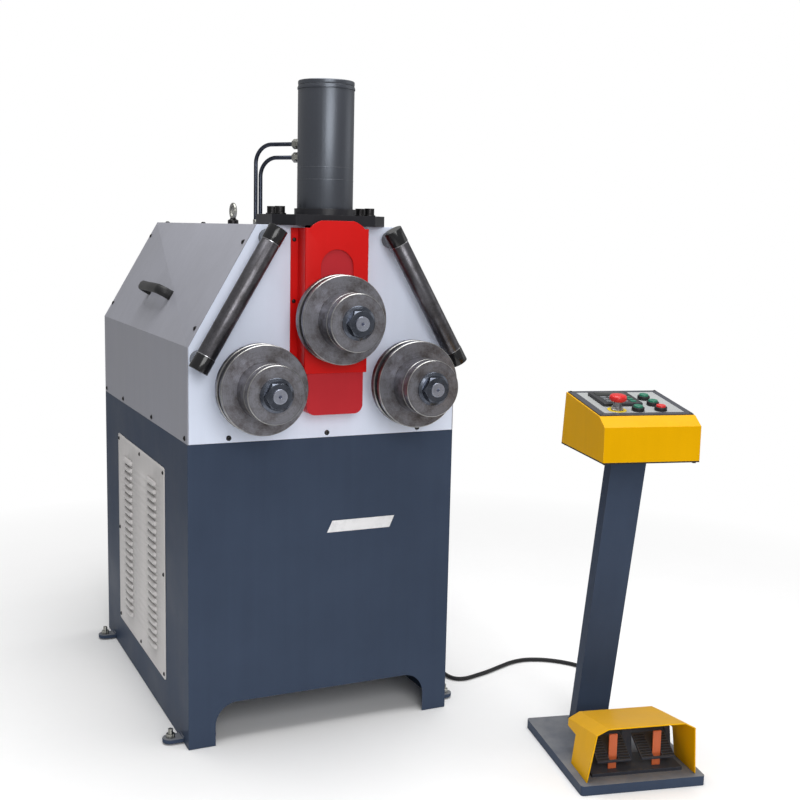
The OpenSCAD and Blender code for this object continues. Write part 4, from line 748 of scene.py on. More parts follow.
def set_camera(scene):
    """The camera fitted to the photo's straight edges."""
    right, up, forward = look_axes(CAMERA_YAW, CAMERA_PITCH, CAMERA_ROLL)
    camera = bpy.data.cameras.new("photo camera")
    camera.sensor_width = SENSOR_W
    camera.lens = FOCAL_PX / PICTURE_PX * SENSOR_W
    camera.clip_end = 100.0
    eye = put("photo camera", camera)
    turn = Matrix((right, up, -forward)).transposed()
    eye.matrix_world = Matrix.Translation(Vector(on_machine(CAMERA_AT))) @ turn.to_4x4()
    scene.camera = eye


def set_world(scene, studio):
    """A room that is white to the camera, softer as a light and in reflections."""
    world = bpy.data.worlds.new("studio room")
    scene.world = world
    world.use_nodes = True
    tree = world.node_tree
    tree.nodes.clear()
    path = add(tree, "ShaderNodeLightPath").outputs
    seen = math_node(tree, "ADD", path["Is Camera Ray"], path["Is Transmission Ray"], True)
    lit = mix_value(tree, path["Is Glossy Ray"], studio.room, studio.gloss)
    strength = mix_value(tree, seen, lit, 1.0)
    back = add(tree, "ShaderNodeBackground", None, Color=WHITE, Strength=strength)
    out = add(tree, "ShaderNodeOutputWorld")
    tree.links.new(back.outputs[0], out.inputs["Surface"])


def lay_floor(scene, studio):
    """A pale floor that keeps the shadows and fades into the white room."""
    material, tree, shader, vector = start_material("studio floor")
    toned = group_in(tree, "tone", Vector=vector, Colour=(*scene.bender_colours.floor, 1.0), Amount=0.01)
    away = add(tree, "ShaderNodeVectorMath", {"operation": "LENGTH"}, i0=vector).outputs["Value"]
    far = spread(tree, away, FLOOR_NEAR, FLOOR_FAR)
    paint = mix_colour(tree, far, toned.outputs["Colour"], DARK)
    tree.links.new(paint, shader.inputs["Base Color"])
    seen = add(tree, "ShaderNodeLightPath").outputs["Is Camera Ray"]
    glow = math_node(tree, "MULTIPLY", far, mix_value(tree, seen, studio.gloss, 1.0))
    tree.links.new(mix_colour(tree, glow, DARK, WHITE), shader.inputs["Emission Color"])
    shader.inputs["Emission Strength"].default_value = 1.0
    shader.inputs["Specular IOR Level"].default_value = 0.0
    shader.inputs["Roughness"].default_value = 0.9
    mesh = bpy.data.meshes.new("studio floor")
    r = FLOOR_REACH
    mesh.from_pydata([(-r, -r, 0), (r, -r, 0), (r, r, 0), (-r, r, 0)], [], [(0, 1, 2, 3)])
    mesh.materials.append(material)
    floor = put("studio_floor", mesh)
    floor.location.z = -FLOOR_DROP


class BENDER_OT_stage(bpy.types.Operator):
    """Set the camera, the lights, the floor and the white background"""

    bl_idname = "bender.stage"
    bl_label = "Stage"

    def execute(self, context):
        scene = context.scene
        studio = scene.bender_studio
        set_camera(scene)
        scene.view_settings.view_transform = "Standard"
        area_light("key light", (-0.9, -4.4, 2.4), (0.1, -0.2, 0.8), 2.4, studio.key)
        area_light("top light", (0.0, -0.3, 4.6), (0.0, 0.1, 0.6), 3.6, studio.top)
        area_light("side light", (4.2, -0.8, 2.0), (0.2, 0.0, 0.8), 2.0, studio.side)
        set_world(scene, studio)
        lay_floor(scene, studio)
        return {"FINISHED"}


# Control cable: the same route as the solid's, in millimetres of the machine's frame
POST_GLAND_END = (639.0, -220.9, 60.0)
CABLE_ROUTE = [
    (380, 262, 60), (400, 261, 59), (418, 256, 51), (431, 245, 38), (439, 229, 25), (444, 208, 15),
    (449, 184, 8), (457, 162, 6), (470, 148, 6), (490, 143, 6), (514, 147, 6), (543, 155, 6),
    (574, 164, 6), (608, 177, 6), (641, 190, 6), (672, 201, 6), (702, 206, 6), (731, 204, 6),
    (757, 195, 6), (782, 181, 6), (805, 162, 6), (825, 140, 6), (841, 116, 6), (851, 90, 6),
    (852, 62, 6), (844, 35, 6), (829, 8, 6), (809, -19, 6), (787, -43, 6), (763, -67, 6),
    (739, -92, 8), (714, -119, 15), (690, -142, 27), (670, -161, 41), (654, -180, 53), (644, -200, 59),
    POST_GLAND_END,
]


class BENDER_OT_cable(bpy.types.Operator):
    """Lay the control cable over the floor from the cabinet to the post"""

    bl_idname = "bender.cable"
    bl_label = "Control cable"

    def execute(self, context):
        d = context.scene.bender_sizes.cable_d / MM
        path = smooth_path(CABLE_ROUTE, steps=5)
        cable = build("control_cable_sheath", [tube(path, d / 2, sides=14)], [mat("cable sheath")],
                      stands_for=["control_cable"], sharp=60.0)
        finish(["cable_glands"], mat("black plastic"), edge=0.6)
        return {"FINISHED"}


# Cabinet
PRINTED_BAR = np.array([[4.0, 512.0], [175.0, 512.0], [188.0, 541.5], [18.0, 541.5]])
LUG_ROWS, LUG_TOP, LUG_HALF = (62.0, 865.0), 14.0, 19.0
LEVELLER_X = 379.0


class BENDER_OT_cabinet(bpy.types.Operator):
    """Finish the cabinet, its lugs and levelling screws, and the bar printed on its front"""

    bl_idname = "bender.cabinet"
    bl_label = "Cabinet"

    def execute(self, context):
        r = context.scene.bender_sizes.weld_r / MM
        finish(["base_cabinet"], mat("cabinet coat"), edge=1.4, segments=3)
        finish(["floor_lugs"], mat("cabinet coat"), edge=1.0)
        finish(["cabinet_shelf"], mat("cabinet coat"), edge=0.5)
        finish(["power_pack"], mat("machine grey"), edge=2.0)
        bar = slab(PRINTED_BAR, 0.25, 0.1)
        build("front_bar", [set_at(bar, (0.0, 0.0, 0.0), -Y, X)], [mat("graphic white")])

        wall = CABINET_W / 2
        beads, stubs, nuts = [], [], []
        for y in LUG_ROWS:
            beads += mirrored(weld_bead((wall, y - LUG_HALF, LUG_TOP), (wall, y + LUG_HALF, LUG_TOP), r))
            stubs += mirrored(set_at(thread(12.4, 11.5, 1.75), (LEVELLER_X, y, LUG_TOP + 10.0), Z))
            nuts += mirrored(set_at(hex_nut(19.4, 10.2, 12.0), (LEVELLER_X, y, LUG_TOP), Z))
        build("lug_welds", beads, [mat("cabinet coat")])
        build("levelling_threads", stubs, [mat("zinc plate")])
        build("levelling_nuts", nuts, [mat("zinc plate")])
        finish(["levelling_screws"], mat("zinc plate"), edge=0.5)
        return {"FINISHED"}


# Vent panels: made for the right side and mirrored to the left
VENT_W, VENT_H, VENT_LOW, VENT_Y = 550.0, 560.0, 97.0, 492.0
VENT_FACE, VENT_CORNER, VENT_SCREW_IN = CABINET_W / 2 + 2.0, 9.0, 14.0
LOUVRE_L, LOUVRE_MOUTH, LOUVRES_APART = 95.0, 11.0, 280.0


def vent_lines(low, size, middles, width):
    """Lines of the vent sheet: its two edges with their corners, and both sides of every opening."""
    ends = np.array([0.0, VENT_CORNER])
    sides = np.sort(np.concatenate([middles - width / 2, middles + width / 2]))
    return np.concatenate([low + ends, sides, low + size - ends[::-1]])


def vent_sheet(columns, rows):
    """The right vent sheet: quads between the lines, open at every louvre, with its corners cut."""
    ys = vent_lines(VENT_Y - VENT_W / 2, VENT_W, columns, LOUVRE_L)
    zs = vent_lines(VENT_LOW, VENT_H, rows, LOUVRE_MOUTH)
    plane = np.stack(np.broadcast_arrays(VENT_FACE, ys[None, :], zs[:, None]), axis=-1)
    pull = VENT_CORNER * (1 - math.cos(math.pi / 4))
    for row, rise in ((0, pull), (-1, -pull)):
        plane[row, 0] += np.array([0.0, pull, rise])
        plane[row, -1] += np.array([0.0, -pull, rise])
    points, quads, marks = grid(plane)
    keep = np.ones((len(zs) - 1, len(ys) - 1), bool)
    keep[2:-2:2, [2, 4]] = False
    return points, quads[keep.ravel()], marks[keep.ravel()]


def louvre_hood(reach):
    """One louvre about its opening's middle: a quarter circle outwards that falls to nothing at both ends."""
    along = np.linspace(-1.0, 1.0, 9)
    over = np.linspace(0.0, np.pi / 2, 6)
    rise = (1.0 - along ** 6) ** 0.5
    out = np.sin(over)[:, None] * rise[None, :] * reach
    drop = LOUVRE_MOUTH / 2 - LOUVRE_MOUTH * (1 - np.cos(over))
    return grid(np.stack(np.broadcast_arrays(out, along[None, :] * LOUVRE_L / 2, drop[:, None]), axis=-1))


class BENDER_OT_vents(bpy.types.Operator):
    """Press the louvre panels of both sides out of their sheet"""

    bl_idname = "bender.vents"
    bl_label = "Vent panels"

    def execute(self, context):
        s = context.scene.bender_sizes
        pitch, mid_z = s.louvre_pitch / MM, VENT_LOW + VENT_H / 2
        first = mid_z - (s.louvre_rows - 1) / 2 * pitch
        rows = first + np.arange(s.louvre_rows) * pitch
        columns = VENT_Y + np.array([-1.0, 1.0]) * LOUVRES_APART / 2
        sheet, hood = vent_sheet(columns, rows), louvre_hood(s.louvre_out / MM)
        hoods = [moved(hood, (VENT_FACE, y, z)) for y in columns for z in rows]
        paint = [mat("vent coat")]
        for side, way in (("left", 1), ("right", 0)):
            panel = build(side + "_vent_sheet", [mirrored(sheet)[way]], paint,
                          stands_for=[side + "_vent_panel"], closed=False)
            solidify(panel, 1.6)
            louvres = build(side + "_louvres", [mirrored(h)[way] for h in hoods], paint, sharp=60.0,
                            closed=False)
            solidify(louvres, 1.0)
        heads = []
        for y in (VENT_Y - VENT_W / 2 + VENT_SCREW_IN, VENT_Y, VENT_Y + VENT_W / 2 - VENT_SCREW_IN):
            for z in (VENT_LOW + VENT_SCREW_IN, mid_z, VENT_LOW + VENT_H - VENT_SCREW_IN):
                if (y, z) != (VENT_Y, mid_z):
                    heads += mirrored(set_at(button_screw(11.0), (VENT_FACE, y, z), X))
        build("vent_screws", heads, [mat("black oxide")])
        return {"FINISHED"}


# Housing: covers, handles and lifting eyes

def slope_point(y, up):
    """A point of the right sloped cover, that far up the slope from the shoulder."""
    return np.array([CABINET_W / 2, y, SHOULDER_H]) + SLOPE_UP * up


PLATE_SCREW_X, PLATE_SCREW_Z = (-250.0, 0.0, 247.0), 766.0
SLOPE_SCREW_IN, SLOPE_SCREW_UP = 18.0, 48.0
SKIRT_SCREW_Y, SKIRT_SCREW_Z = (24.0, 354.0, 698.0, CABINET_D - 24.0), 767.0
REAR_SCREWS = [(0.0, 1248.0), (0.0, 772.0), (-320.0, 772.0), (-320.0, 960.0), (320.0, 772.0), (320.0, 960.0)]
TOP_SCREW_IN, TOP_SCREW_Y = 22.0, (CABINET_D - 40.0, 520.0)
HANDLE_UP = 112.0
BOW_L, BOW_H, BOW_R = 216.0, 35.0, 22.0
EYE_X, EYE_Y, EYE_R, EYE_WIRE, EYE_FOOT = 128.0, 363.0, 17.5, 5.0, 15.0


def cover_screws(screw):
    """Screws of the slopes, the skirts, the rear cover and the top plate."""
    heads = []
    slope_l = math.hypot((CABINET_W - TOP_W) / 2, TOP_H - SHOULDER_H)
    for y in (SLOPE_SCREW_IN, CABINET_D - SLOPE_SCREW_IN):
        for up in (SLOPE_SCREW_UP, slope_l - SLOPE_SCREW_UP):
            heads += mirrored(set_at(screw, slope_point(y, up), SLOPE_OUT))
    for y in SKIRT_SCREW_Y:
        heads += mirrored(set_at(screw, (CABINET_W / 2, y, SKIRT_SCREW_Z), X))
    for x, z in REAR_SCREWS:
        heads.append(set_at(screw, (x, CABINET_D, z), Y))
    for y in TOP_SCREW_Y:
        heads += mirrored(set_at(screw, (TOP_W / 2 - TOP_SCREW_IN, y, TOP_H), Z))
    return heads


def bow_handle():
    """The right handle: a flattened bar out of the slope, round a quarter circle, along and back."""
    quarter = np.linspace(0.0, np.pi / 2, 10)
    rise = np.concatenate([[0.0, 7.0], BOW_H - BOW_R + BOW_R * np.sin(quarter)])
    inset = np.concatenate([[0.0, 0.0], BOW_R - BOW_R * np.cos(quarter)])
    run = np.concatenate([inset - BOW_L / 2, (BOW_L / 2 - inset)[::-1]])
    rise = np.concatenate([rise, rise[::-1]])
    at = slope_point(CABINET_D / 2, HANDLE_UP)
    return tube(at + run[:, None] * Y + rise[:, None] * SLOPE_OUT, 6.9, sides=24, up=SLOPE_UP, flat=1.9)


def eye_ring():
    """The right lifting eye's ring: a round wire carried round an upright circle."""
    a = np.linspace(0.0, 2 * np.pi, 64, endpoint=False)
    b = np.linspace(0.0, 2 * np.pi, 20, endpoint=False)
    reach = EYE_R + EYE_WIRE * np.cos(b)[None, :]
    torus = np.stack(np.broadcast_arrays(EYE_WIRE * np.sin(b)[None, :], reach * np.cos(a)[:, None],
                                         reach * np.sin(a)[:, None]), axis=-1)
    return moved(grid(torus, around=True, across=True), (EYE_X, EYE_Y, TOP_H + EYE_FOOT + EYE_R))


class BENDER_OT_housing(bpy.types.Operator):
    """Finish the covers, the front plate, the handles and the lifting eyes"""

    bl_idname = "bender.housing"
    bl_label = "Housing"

    def execute(self, context):
        covers = ["left_upper_cover", "right_upper_cover", "rear_cover"]
        finish(covers, mat("cover coat"), edge=1.2, segments=3)
        finish(["top_plate"], mat("cover coat"), edge=1.0)
        finish(["front_plate"], mat("plate coat"), edge=1.0, segments=3)

        screw = button_screw(context.scene.bender_sizes.screw_d / MM)
        front = [set_at(screw, (x, 0.0, PLATE_SCREW_Z), -Y) for x in PLATE_SCREW_X]
        build("front_plate_screws", front, [mat("black oxide")])
        build("cover_screws", cover_screws(screw), [mat("black oxide")])

        build("bow_handles", mirrored(bow_handle()), [mat("black plastic")], stands_for=["cover_handles"])
        pad = slab(rounded_outline(26.0, 22.0, 5.0), 1.6, 0.6)
        pads = []
        for end in (-1.0, 1.0):
            at = slope_point(CABINET_D / 2 + end * BOW_L / 2, HANDLE_UP)
            pads += mirrored(set_at(pad, at, SLOPE_OUT, SLOPE_UP))
        build("handle_pads", pads, [mat("black oxide")])

        build("eye_rings", mirrored(eye_ring()), [mat("zinc plate")], stands_for=["lifting_eyes"],
              sharp=50.0)
        foot = lathe([(0, 0), (14, 0), (14, 8), (13, 10), (10, 11), (8, 13), (7, 15.5), (0, 15.5)], count=48)
        build("eye_feet", mirrored(moved(foot, (EYE_X, EYE_Y, TOP_H))), [mat("black oxide")], sharp=50.0)
        return {"FINISHED"}


# Slide
SLIDE_Y, SLIDE_HALF, SLIDE_FOLD, SLIDE_FLANGE, SLIDE_T = 54.0, 81.0, 4.0, 18.0, 3.0
SLIDE_LOW, SLIDE_SHOULDER, SLIDE_TOP = 920.0, TOP_H - 6.0, TOP_H + 12.0
TAB_FOOT, TAB_HEAD = 69.0, 40.0
TAB_CUT = 1.5  # form of the tab's corners: 1 is a quarter ellipse, 2 a straight cut
SLOT_R, SLOT_LOW, SLOT_HIGH = 41.5, 1012.0, 1173.0
SLIDE_SCREW_X, SLIDE_SCREW_Z = 90.5, (945.0, 1090.0, 1236.0)


def slide_half():
    """Right half of the slide cover's skin: a face ruled from its edge to the slot, a fold and a flange.

    The edge runs up the fold, over the shoulder and a rounded cut to the tab's head; the slot is a straight
    side between two quarter circles; both are stepped together from the lower to the upper middle.
    """
    edge_x = SLIDE_HALF - SLIDE_FOLD
    t = np.linspace(0.0, 1.0, 12, endpoint=False)
    corners = np.array([[0.0, SLIDE_LOW], [edge_x, SLIDE_LOW], [edge_x, SLOT_LOW], [edge_x, SLOT_HIGH],
                        [edge_x, SLIDE_SHOULDER], [TAB_FOOT, SLIDE_SHOULDER], [TAB_HEAD, SLIDE_TOP],
                        [0.0, SLIDE_TOP]])
    angles = np.radians([-90.0, -45.0, 0.0, 0.0, 45.0, 60.0, 75.0, 90.0])
    centres = np.array([SLOT_LOW] * 3 + [SLOT_HIGH] * 5)

    def stepped(values):
        """Values stepped evenly from each to the next."""
        step = t.reshape((1, -1) + (1,) * (values.ndim - 1))
        lines = values[:-1, None] + (values[1:, None] - values[:-1, None]) * step
        return np.concatenate([lines.reshape((-1,) + values.shape[1:]), values[-1:]])

    edge, angle, centre = stepped(corners), stepped(angles), stepped(centres)
    turn = t * np.pi / 2
    cut = np.column_stack([np.cos(turn), np.sin(turn)]) ** TAB_CUT
    tab = np.array([TAB_FOOT - TAB_HEAD, SLIDE_TOP - SLIDE_SHOULDER])
    edge[5 * len(t):6 * len(t)] = np.array([TAB_HEAD, SLIDE_SHOULDER]) + tab * cut
    slot = np.column_stack([SLOT_R * np.cos(angle), centre + SLOT_R * np.sin(angle)])
    loops = np.stack([edge, slot])
    face = np.stack([loops[..., 0], np.full(loops.shape[:2], -SLIDE_Y), loops[..., 1]], axis=-1)

    heights = edge[len(t):4 * len(t) + 1, 1]
    bend = np.linspace(-np.pi / 2, 0.0, 6)
    fold = np.column_stack([edge_x + SLIDE_FOLD * np.cos(bend),
                            SLIDE_FOLD - SLIDE_Y + SLIDE_FOLD * np.sin(bend)])
    wall = np.array([[SLIDE_HALF, -SLIDE_T], [SLIDE_HALF + SLIDE_FLANGE, -SLIDE_T]])
    profile = np.concatenate([fold, wall])[::-1]
    side = np.stack(np.broadcast_arrays(profile[:, :1], profile[:, 1:], heights[None, :]), axis=-1)
    return [grid(face), grid(side)]


class BENDER_OT_slide(bpy.types.Operator):
    """Fold the slide cover and finish the carriage and the rails"""

    bl_idname = "bender.slide"
    bl_label = "Slide"

    def execute(self, context):
        halves = [half for part in slide_half() for half in mirrored(part)]
        cover = build("folded_slide_cover", halves, [mat("slide red")], stands_for=["slide_cover"],
                      closed=False)
        solidify(cover, SLIDE_T)
        soften(cover, 0.7, 2)
        finish(["carriage"], mat("carriage red"), edge=1.2, segments=3)
        finish(["slide_rails"], mat("bright steel"), edge=0.6)
        heads = []
        for z in SLIDE_SCREW_Z:
            heads += mirrored(set_at(button_screw(10.0), (SLIDE_SCREW_X, -SLIDE_T, z), -Y))
        build("slide_cover_screws", heads, [mat("black oxide")])
        return {"FINISHED"}


# Rolls
ROLL_BORE = 60.2
RIM_BAND = 9.0  # width of the outermost band of a ring's flat faces
ROLL_RINGS = [  # back face, width, diameter and bevel of each ring, from the plate outwards
    (59.0, 18.0, 212.0, 1.6), (77.0, 18.0, 150.0, 0.8), (95.0, 13.0, 212.0, 1.6),
    (108.0, 52.0, 136.0, 1.5), (160.0, 26.0, 136.0, 1.5),
]


def ring_profile(back, width, d, bevel):
    """Profile of one roll ring along its axis, with bevelled edges; the bevels take the second slot."""
    r, hole, front = d / 2, ROLL_BORE / 2, back + width
    band = r - bevel - RIM_BAND
    points = [(hole, back), (band, back), (r - bevel, back), (r, back + bevel), (r, front - bevel),
              (r - bevel, front), (band, front), (hole, front), (hole, back)]
    return points, [0, 0, 1, 0, 1, 0, 0, 0]


class BENDER_OT_rolls(bpy.types.Operator):
    """Turn the rings of the three rolls and finish their shafts and nuts"""

    bl_idname = "bender.rolls"
    bl_label = "Rolls"

    def execute(self, context):
        for side, (x, z) in ROLLS.items():
            parts = []
            for back, width, d, bevel in ROLL_RINGS:
                profile, slots = ring_profile(back, width, d, bevel)
                parts.append(set_at(lathe(profile, count=128, slots=slots), (x, 0.0, z), -Y, X))
            build(side + "_roll", parts, [mat(side + " roll steel"), mat(side + " roll rim")],
                  body=side + "_roll", stands_for=[side + "_roll_rings"], sharp=25.0)
            finish([side + "_lock_nut"], mat("nut steel"), edge=1.0, segments=3)
            finish([side + "_shaft"], mat("shaft steel"), edge=0.8)
            stub = set_at(thread(33.6, 4.2, 2.0), (x, -209.0, z), -Y, X)
            build(side + "_shaft_thread", [stub], [mat("shaft steel")], body=side + "_roll")
        return {"FINISHED"}


# Cylinder
CYLINDER_Y, SEAM_Z = 32.0, (1378.0, 1407.0)


class BENDER_OT_cylinder(bpy.types.Operator):
    """Finish the cylinder, its flange, its screws and its pipes"""

    bl_idname = "bender.cylinder"
    bl_label = "Cylinder"

    def execute(self, context):
        finish(["cylinder_barrel", "cylinder_cap"], mat("black coat"), edge=0.7, segments=3)
        finish(["cylinder_flange"], mat("flange black"), edge=1.4, segments=3)
        finish(["flange_bolts"], mat("black oxide"), edge=0.7)
        finish(["hydraulic_pipes"], mat("pipe steel"), edge=0.0)
        finish(["pipe_fittings"], mat("zinc plate"), edge=0.7)
        finish(["piston_rod"], mat("bright steel"), edge=0.6)
        band = lathe([(67.3, -1.2), (67.9, -0.7), (67.9, 0.7), (67.3, 1.2), (67.3, -1.2)])
        bands = [moved(band, (0.0, CYLINDER_Y, z)) for z in SEAM_Z]
        build("barrel_seams", bands, [mat("black coat")])
        return {"FINISHED"}


# Guide bars
BAR_TOP = np.array([145.0, -45.0, 1262.0])
BAR_LEAN, BAR_L, BAR_END_L = math.radians(30.4), 379.0, 37.9


class BENDER_OT_guide_bars(bpy.types.Operator):
    """Finish the leaning guide bars and their end pieces, and ring their seams with a painted highlight"""

    bl_idname = "bender.guide_bars"
    bl_label = "Guide bars"

    def execute(self, context):
        finish(["guide_bars"], mat("bar steel"), edge=0.8)
        finish(["guide_bar_ends"], mat("gloss black"), edge=1.6, segments=3)
        down = np.array([math.sin(BAR_LEAN), 0.0, -math.cos(BAR_LEAN)])
        # Thin raised rings where the bars meet their end pieces, given bright steel as a painted highlight of
        # the seam
        seam = lathe([(22.8, -0.8), (23.6, -0.8), (23.6, 0.8), (22.8, 0.8), (22.8, -0.8)])
        seams = []
        for at in (BAR_END_L, BAR_L - BAR_END_L):
            seams += mirrored(set_at(seam, BAR_TOP + down * at, down, Y))
        build("guide_bar_seams", seams, [mat("bright steel")])
        return {"FINISHED"}


# Drive, inside the housing

class BENDER_OT_drive(bpy.types.Operator):
    """Finish the bearings and the motors inside the housing"""

    bl_idname = "bender.drive"
    bl_label = "Drive"

    def execute(self, context):
        finish(["lower_bearing_housings"], mat("machine grey"), edge=1.0)
        finish(["lower_bushes", "upper_bushes"], mat("bronze bush"), edge=0.4)
        finish(["lower_roll_motors", "upper_roll_motor"], mat("black coat"), edge=1.2)
        return {"FINISHED"}


# Pedestal

class BENDER_OT_pedestal(bpy.types.Operator):
    """Finish the pedestal's base and post, with the weld at the post's foot"""

    bl_idname = "bender.pedestal"
    bl_label = "Pedestal"

    def execute(self, context):
        finish(["pedestal_base"], mat("cabinet coat"), edge=1.6, segments=3)
        finish(["pedestal_post"], mat("cabinet coat"), edge=2.0, segments=3)
        r = context.scene.bender_sizes.weld_r / MM
        half, front, rear, z = 44.0, 320.0, 360.0, 23.0
        corners = [(-half, front, z), (half, front, z), (half, rear, z), (-half, rear, z)]
        beads = [weld_bead(a, b, r) for a, b in zip(corners, corners[1:] + corners[:1])]
        build("post_welds", beads, [mat("cabinet coat")], place=on_pedestal)
        return {"FINISHED"}


# Control box, in the panel's own frame
DISPLAY_W, DISPLAY_D, DISPLAY_H = 98.0, 104.0, 8.0
DISPLAY_AT = np.array([-30.0, 122.0, PANEL_T])
DISPLAY_FACE = DISPLAY_AT + DISPLAY_H * Z
SCREEN_Y = 30.0
KEY_ROWS, KEY_COLUMNS = 3, 4
KEY_X, KEY_Y, KEY_PITCH_X, KEY_PITCH_Y = -30.0, -36.0, 20.0, 18.0
PANEL_SCREW_X, PANEL_SCREW_IN, PANEL_D = 108.5, 8.5, 213.59


class BENDER_OT_control_box(bpy.types.Operator):
    """Finish the control box and make the panel's display, keys and screws"""

    bl_idname = "bender.control_box"
    bl_label = "Control box"

    def execute(self, context):
        finish(["control_box"], mat("pedestal yellow"), edge=1.6, segments=3)
        finish(["box_floor"], mat("black plastic"), edge=0.8)
        finish(["panel_frame"], mat("frame grey"), edge=0.8)
        finish(["control_panel"], mat("panel foil"), edge=0.3)
        block = slab(rounded_outline(DISPLAY_W, DISPLAY_D, 5.0), DISPLAY_H, 2.0)
        build("display_block", [moved(block, DISPLAY_AT)], [mat("display plastic")], place=on_panel,
              stands_for=["display_unit"])
        screen = slab(rounded_outline(78.0, 30.0, 2.0), 0.8, 0.4)
        build("display_screen", [moved(screen, DISPLAY_FACE + SCREEN_Y * Y)], [mat("screen")], place=on_panel)
        key = slab(rounded_outline(13.0, 11.0, 2.0), 1.6, 0.8)
        keys, side_keys = [], []
        for row in range(KEY_ROWS):
            for column in range(KEY_COLUMNS):
                at = DISPLAY_FACE + (KEY_X + KEY_PITCH_X * column, KEY_Y + KEY_PITCH_Y * row, 0.0)
                group = side_keys if column == KEY_COLUMNS - 1 else keys
                group.append(moved(key, at))
        build("display_keys", keys, [mat("key grey")], place=on_panel)
        build("display_side_keys", side_keys, [mat("green cap")], place=on_panel)
        heads = []
        for x in (-PANEL_SCREW_X, PANEL_SCREW_X):
            for y in (PANEL_SCREW_IN, PANEL_D - PANEL_SCREW_IN):
                heads.append(set_at(button_screw(7.0), (x, y, PANEL_T), Z))
        build("panel_screws", heads, [mat("black oxide")], place=on_panel)
        return {"FINISHED"}


# Buttons, in the panel's own frame
BUTTONS = {"rear_green_button": (46.0, 130.0, 0.0), "middle_green_button": (46.0, 78.0, 0.0),
           "red_button": (46.0, 34.0, 0.0), "front_green_button": (-10.0, 34.0, 0.0)}
STOP_AT = (-58.0, 42.0, 0.0)
BEZEL_H, CAP_H, STOP_NECK = 9.0, 4.0, 12.0


class BENDER_OT_buttons(bpy.types.Operator):
    """Make the push buttons and the emergency stop"""

    bl_idname = "bender.buttons"
    bl_label = "Buttons"

    def execute(self, context):
        low, bezel = PANEL_T, PANEL_T + BEZEL_H
        ring = lathe([(11.4, low), (14.5, low), (14.5, bezel - 1.4), (14.1, bezel - 0.4), (13.2, bezel),
                      (11.4, bezel), (11.4, low)], count=64)
        neck = lathe([(10.4, low), (14.5, low), (14.5, low + 3.0), (13.8, low + 3.8), (12.9, low + 4.2),
                      (12.9, bezel - 0.8), (12.2, bezel), (10.4, bezel), (10.4, low)],
                     count=64, slots=[1] * 8)
        bezels = [moved(ring, at) for at in BUTTONS.values()] + [moved(neck, STOP_AT)]
        build("bezel_rings", bezels, [mat("black plastic"), mat("bright steel")], place=on_panel,
              stands_for=["button_bezels"])
        top = bezel + CAP_H
        cap = lathe([(0, -8), (11, -8), (11, top - 1.2), (10.6, top - 0.4), (9.8, top), (8.6, top - 0.2),
                     (5.0, top - 0.7), (0, top - 0.9)], count=64)
        for name, at in BUTTONS.items():
            colour = "red" if name == "red_button" else "green"
            build(name + "_cap", [moved(cap, at)], [mat(colour + " cap")], body=name + "_body",
                  place=on_panel, stands_for=[name])
        head = bezel + STOP_NECK
        profile = [(0, -8), (9.9, -8), (9.9, head - 1), (12.5, head), (15.5, head), (18.6, head + 2.4),
                   (20, head + 5.4), (20, head + 9.4), (19.2, head + 12.2), (16.8, head + 14.4),
                   (12.0, head + 15.6), (6.0, head + 16), (0, head + 16)]
        mushroom = lathe(profile, count=72, slots=[1] * 3 + [0] * 9)
        build("stop_head", [moved(mushroom, STOP_AT)], [mat("red cap"), mat("bright steel")],
              body="stop_button_body", place=on_panel, stands_for=["emergency_stop"],
              sharp=40.0)
        disc = lathe([(14.8, low), (22, low), (22, low + 0.7), (21.6, low + 1.0), (14.8, low + 1.0),
                      (14.8, low)], count=72)
        build("stop_disc", [moved(disc, STOP_AT)], [mat("yellow cap")], place=on_panel)
        return {"FINISHED"}


# Pedals, in the pedestal's own frame
PEDAL_RISE, PEDAL_X, PEDAL_T = math.radians(28.0), 55.0, 3.0
PEDAL_LIP = np.array([0.0, 40.0, 53.0])
RIB_FIRST, RIB_PITCH, RIB_COUNT, RIB_X = 6.0, 7.5, 9, 26.5


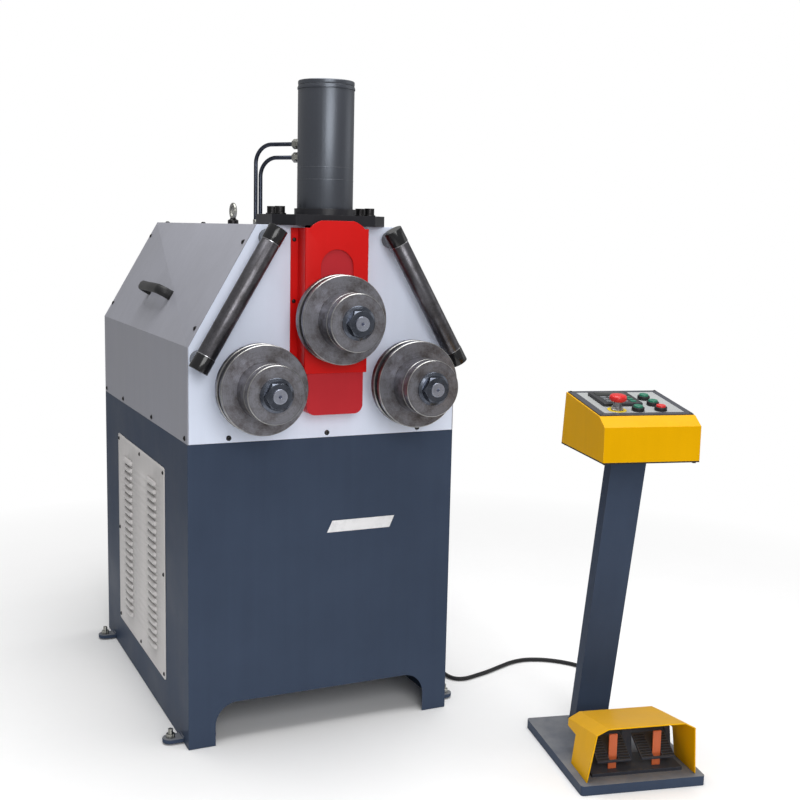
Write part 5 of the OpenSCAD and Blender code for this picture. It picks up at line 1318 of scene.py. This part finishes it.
class BENDER_OT_pedals(bpy.types.Operator):
    """Finish the guard and the pedals and lay ribbed pads on them"""

    bl_idname = "bender.pedals"
    bl_label = "Pedals"

    def execute(self, context):
        finish(["pedal_guard"], mat("pedestal yellow"), edge=1.3, segments=3)
        finish(["pedal_housing"], mat("pedal coat"), edge=0.0)
        finish(["left_pedal", "right_pedal"], mat("pedal coat"), edge=1.0)
        finish(["pedal_latches"], mat("orange latch"), edge=0.8)
        along = np.array([0.0, math.cos(PEDAL_RISE), math.sin(PEDAL_RISE)])
        out = np.array([0.0, -math.sin(PEDAL_RISE), math.cos(PEDAL_RISE)])
        rib = slab(rounded_outline(27.0, 3.6, 1.5), 1.6, 0.8)
        for side, x in (("left", -PEDAL_X), ("right", PEDAL_X)):
            ribs = []
            for half in (-RIB_X, RIB_X):
                for step in range(RIB_COUNT):
                    up_plate = along * (RIB_FIRST + RIB_PITCH * step) + out * PEDAL_T
                    ribs.append(set_at(rib, PEDAL_LIP + up_plate + (x + half) * X, out, X))
            build(side + "_pedal_ribs", ribs, [mat("pedal rubber")], body=side + "_pedal_body",
                  place=on_pedestal)
        return {"FINISHED"}


# Add-on
OPERATORS = (
    BENDER_OT_finishes, BENDER_OT_stage, BENDER_OT_cable, BENDER_OT_cabinet, BENDER_OT_vents,
    BENDER_OT_housing, BENDER_OT_slide, BENDER_OT_rolls, BENDER_OT_cylinder, BENDER_OT_guide_bars,
    BENDER_OT_drive, BENDER_OT_pedestal, BENDER_OT_control_box, BENDER_OT_buttons, BENDER_OT_pedals,
)


class BENDER_PT_sidebar(bpy.types.Panel):
    """Sizes, colours and steps of the bender"""

    bl_label = "Angle roll bender"
    bl_space_type = "VIEW_3D"
    bl_region_type = "UI"
    bl_category = "Bender"

    def draw(self, context):
        scene = context.scene
        for group in (scene.bender_colours, scene.bender_sizes, scene.bender_studio):
            box = self.layout.box()
            for key in group.__annotations__:
                box.prop(group, key)
        for operator in OPERATORS:
            self.layout.operator(operator.bl_idname)


CLASSES = (BenderColours, BenderSizes, BenderStudio, *OPERATORS, BENDER_PT_sidebar)
POINTERS = {"bender_colours": BenderColours, "bender_sizes": BenderSizes, "bender_studio": BenderStudio}


def register():
    for cls in CLASSES:
        bpy.utils.register_class(cls)
    for name, cls in POINTERS.items():
        setattr(bpy.types.Scene, name, PointerProperty(type=cls))


def unregister():
    for name in POINTERS:
        delattr(bpy.types.Scene, name)
    for cls in reversed(CLASSES):
        bpy.utils.unregister_class(cls)


def main():
    """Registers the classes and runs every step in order."""
    register()
    steps = bpy.ops.bender
    steps.finishes()
    steps.stage()
    steps.cable()
    steps.cabinet()
    steps.vents()
    steps.housing()
    steps.slide()
    steps.rolls()
    steps.cylinder()
    steps.guide_bars()
    steps.drive()
    steps.pedestal()
    steps.control_box()
    steps.buttons()
    steps.pedals()


if __name__ == "__main__":
    main()
